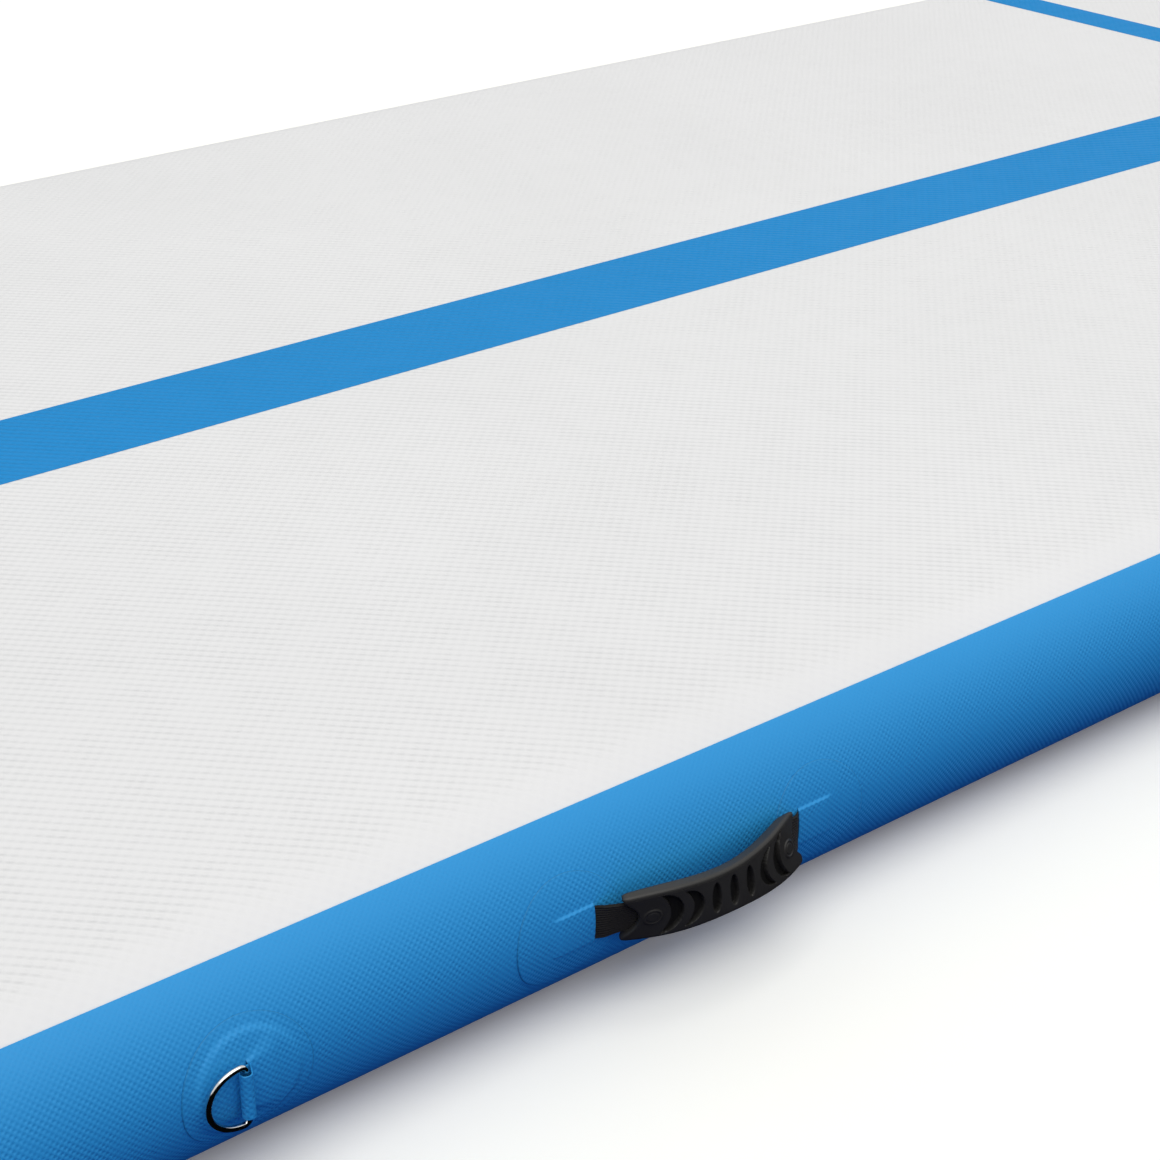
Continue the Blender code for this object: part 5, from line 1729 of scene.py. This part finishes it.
    def spring(self) -> Surface:
        """Return the return spring: a round wire along a helix, its ends drawn to a point.

        Returns:
            The closed wire.
        """
        low = self.seat_skin - self.barrel_depth + self.spring_foot + self.spring_wire
        high = self.spring_top - self.spring_wire
        share = np.linspace(0, 1, self.spring_steps[0])[:, None]
        turn = np.linspace(0, 2 * np.pi, self.spring_steps[1])
        angle = 2 * np.pi * self.spring_turns * share
        wire = self.spring_wire * np.where((share == 0) | (share == 1), 0.0, 1.0)
        radius = self.spring_radius + wire * np.cos(turn)
        height = low + (high - low) * share + wire * np.sin(turn)
        return Surface.grid(stacked(radius * np.cos(angle), radius * np.sin(angle), height))

    def build(self) -> None:
        """Build the valve's pieces and put them into the frame."""
        place = self.place()
        seal_top = -self.barrel_depth - self.play
        washer_foot = self.neck_top + self.play
        gasket = self.washer(self.shape.hole, self.flange_radius - MM, *self.gasket)
        nut = self.washer(self.barrel_radius + self.play, self.nut_radius, *self.nut)
        seal = self.washer(self.stem + self.play, self.poppet + self.seal_lip, seal_top - self.seal_skin,
                           seal_top)
        washer = self.washer(self.bore + self.cap_gap, self.neck - self.play, washer_foot,
                             washer_foot + self.cap_washer)
        pieces = [("valve_housing", self.body(), VALVE_PLASTIC, "mat", "valve_body"),
                  ("valve_face_gasket", gasket, VALVE_RUBBER, "mat", "valve_gasket"),
                  ("valve_back_nut", nut, VALVE_PLASTIC, "mat", "valve_nut"),
                  ("valve_push_stem", self.plunger(), VALVE_PLASTIC, "valve_plunger", "valve_stem"),
                  ("valve_poppet_seal", seal, VALVE_RUBBER, "valve_plunger", "valve_seal"),
                  ("valve_coil_spring", self.spring(), SPRING_STEEL, "mat", "valve_spring"),
                  ("valve_screw_cap", self.cap(), VALVE_PLASTIC, "cap", "valve_cap"),
                  ("valve_cap_washer", washer, VALVE_RUBBER, "cap_ring", "valve_cap_seal")]
        made = {name: show(surface.moved(place), name, finish, body, node, VALVE_SHARP)
                for name, surface, finish, body, node in pieces}
        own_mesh(made["valve_coil_spring"])
        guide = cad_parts["valve_guide"]
        guide.data.materials.clear()
        guide.data.materials.append(VALVE_PLASTIC.material())
        LOG.info("valve_guide: kept solid, %s", VALVE_PLASTIC.name)


# Studio


@dataclass
class Studio:
    """Pale floor, soft light from above the front left, and the camera."""

    lens: float = 70.24
    sensor: float = 36.0
    clip: tuple[float, float] = (0.01, 500.0)
    camera_at: tuple[float, float, float] = (-0.7675, -1.1127, 0.6145)
    camera_tilt: float = math.radians(62.847)
    camera_turn: float = math.radians(-38.176)
    sun_strength: float = 1.43
    sun_colour: str = "#FFFDF8"
    sun_angle: float = math.radians(60)
    sun_from: tuple[float, float, float] = (-0.12, -0.3, 0.947)
    sky: str = "#F2F5FA"
    sky_strength: float = 0.66
    floor_seen: str = "#FFFEF8"
    floor_glow: float = 0.06
    floor_bounce: str = "#27398E"
    floor_half: float = 60.0
    floor_z: float = -0.5 * MM
    card_colour: str = "#0C0C0C"
    card_foot: float = 1 * MM
    card_under: float = -45 * MM
    card_near: float = 30 * MM
    card_far: float = 700 * MM
    card_top: float = 620 * MM

    def camera(self) -> None:
        """Put the camera where the photograph was taken from."""
        data = bpy.data.cameras.new("camera")
        data.lens = self.lens
        data.sensor_width = self.sensor
        data.sensor_fit = "HORIZONTAL"
        data.clip_start, data.clip_end = self.clip
        item = bpy.data.objects.new("camera", data)
        item.location = self.camera_at
        item.rotation_euler = (self.camera_tilt, 0.0, self.camera_turn)
        bpy.context.scene.collection.objects.link(item)
        bpy.context.scene.camera = item

    def lamp(self) -> None:
        """Add one broad sun; its strength and the sky's light a level white sheet to just about 1."""
        data = bpy.data.lights.new("soft_key", "SUN")
        data.energy = self.sun_strength
        data.color = linear(self.sun_colour)[:3]
        data.angle = self.sun_angle
        item = bpy.data.objects.new("soft_key", data)
        x, y, z = self.sun_from
        item.rotation_euler = (math.atan2(math.hypot(x, y), z), 0.0, math.atan2(y, x) + math.pi / 2)
        bpy.context.scene.collection.objects.link(item)

    def seen(self, tree: Tree) -> Socket:
        """Return 1 for camera, glossy and transmission rays, which all see the white background.

        Args:
            tree: node tree to add to.

        Returns:
            The output that tells such rays from the rest.
        """
        path = add_node(tree, "LightPath").node.outputs
        both = add_node(tree, "Math", {0: path["Is Camera Ray"], 1: path["Is Glossy Ray"]}, operation="MAXIMUM")
        return add_node(tree, "Math", {0: both, 1: path["Is Transmission Ray"]}, operation="MAXIMUM")

    def world(self) -> None:
        """Set an even cool sky that reads as white where it is seen."""
        world = bpy.data.worlds.new("studio")
        bpy.context.scene.world = world
        world.use_nodes = True
        tree = world.node_tree
        seen = self.seen(tree)
        white = (1.0, 1.0, 1.0, 1.0)
        colour = add_node(tree, "Mix", {0: seen, 6: linear(self.sky), 7: white}, 2, data_type="RGBA")
        strength = add_node(tree, "MapRange", {0: seen, 3: self.sky_strength, 4: 1.0})
        feed(tree, tree.nodes["Background"], {"Color": colour, "Strength": strength})

    def floor(self) -> None:
        """Lay the floor: white where it is seen, deep blue for the light that it throws back on the wall."""
        span = (-self.floor_half, self.floor_half)
        item = Surface.grid(stacked(*np.meshgrid(span, span, indexing="ij"), self.floor_z)).build("floor")
        made, tree, shader = blank_material("studio_floor")
        seen = self.seen(tree)
        white = linear(self.floor_seen)
        colour = add_node(tree, "Mix", {0: seen, 6: linear(self.floor_bounce), 7: white}, 2, data_type="RGBA")
        glow = add_node(tree, "Math", {0: seen, 1: self.floor_glow}, operation="MULTIPLY")
        feed(tree, shader, {"Base Color": colour, "Emission Color": white, "Emission Strength": glow,
                            "Roughness": 1.0, "Specular IOR Level": 0.0})
        item.data.materials.append(made)

    def cards(self, shape: MatShape) -> None:
        """Stand sloping black cards around the mat, which draw the steel's dark edges.

        Only reflections see them.

        Args:
            shape: the mat that they stand around.
        """
        plan = np.array([[-1, -1], [1, -1], [1, 1], [-1, 1], [-1, -1]])
        rows = [stacked(*(plan * (shape.length / 2 + out, shape.width / 2 + out)).T, height)
                for out, height in ((self.card_under, self.card_foot), (self.card_near, self.card_foot),
                                    (self.card_far, self.card_top))]
        item = Surface.grid(np.stack(rows)).build("black_cards")
        made, tree, shader = blank_material("black_card")
        feed(tree, shader, {"Base Color": linear(self.card_colour), "Roughness": 1.0,
                            "Specular IOR Level": 0.0})
        item.data.materials.append(made)
        item.visible_camera = False
        item.visible_diffuse = False
        item.visible_shadow = False
        item.visible_transmission = False

    def build(self, shape: MatShape) -> None:
        """Set up the camera, the light, the floor and the cards.

        Args:
            shape: the mat that the studio is for.
        """
        bpy.context.scene.view_settings.view_transform = "Standard"
        self.camera()
        self.lamp()
        self.world()
        self.floor()
        self.cards(shape)
        LOG.info("studio: camera, sun, sky, floor and cards")


def main() -> None:
    """Build the studio and every sub-assembly."""
    logging.basicConfig(level=logging.INFO, format="%(name)s: %(message)s")
    shape = MatShape()
    Studio().build(shape)
    MatSkins(shape).build()
    MarkingLines(shape).build()
    for side, sign in (("front", -1), ("back", 1)):
        turn = 0.0 if sign < 0 else math.pi
        for end, way in (("left", -1), ("right", 1)):
            middle = (way * HANDLE_X, sign * shape.width / 2, shape.middle)
            CarryHandle(f"handle_{side}_{end}", shape, placement(middle, turn)).build()
            middle = (way * RING_X, sign * shape.width / 2, shape.middle)
            flip = 0.0 if way * sign > 0 else math.pi
            TieRing(f"ring_{side}_{end}", shape, placement(middle, turn, flip)).build()
    Valve(shape).build()


if __name__ == "__main__":
    main()
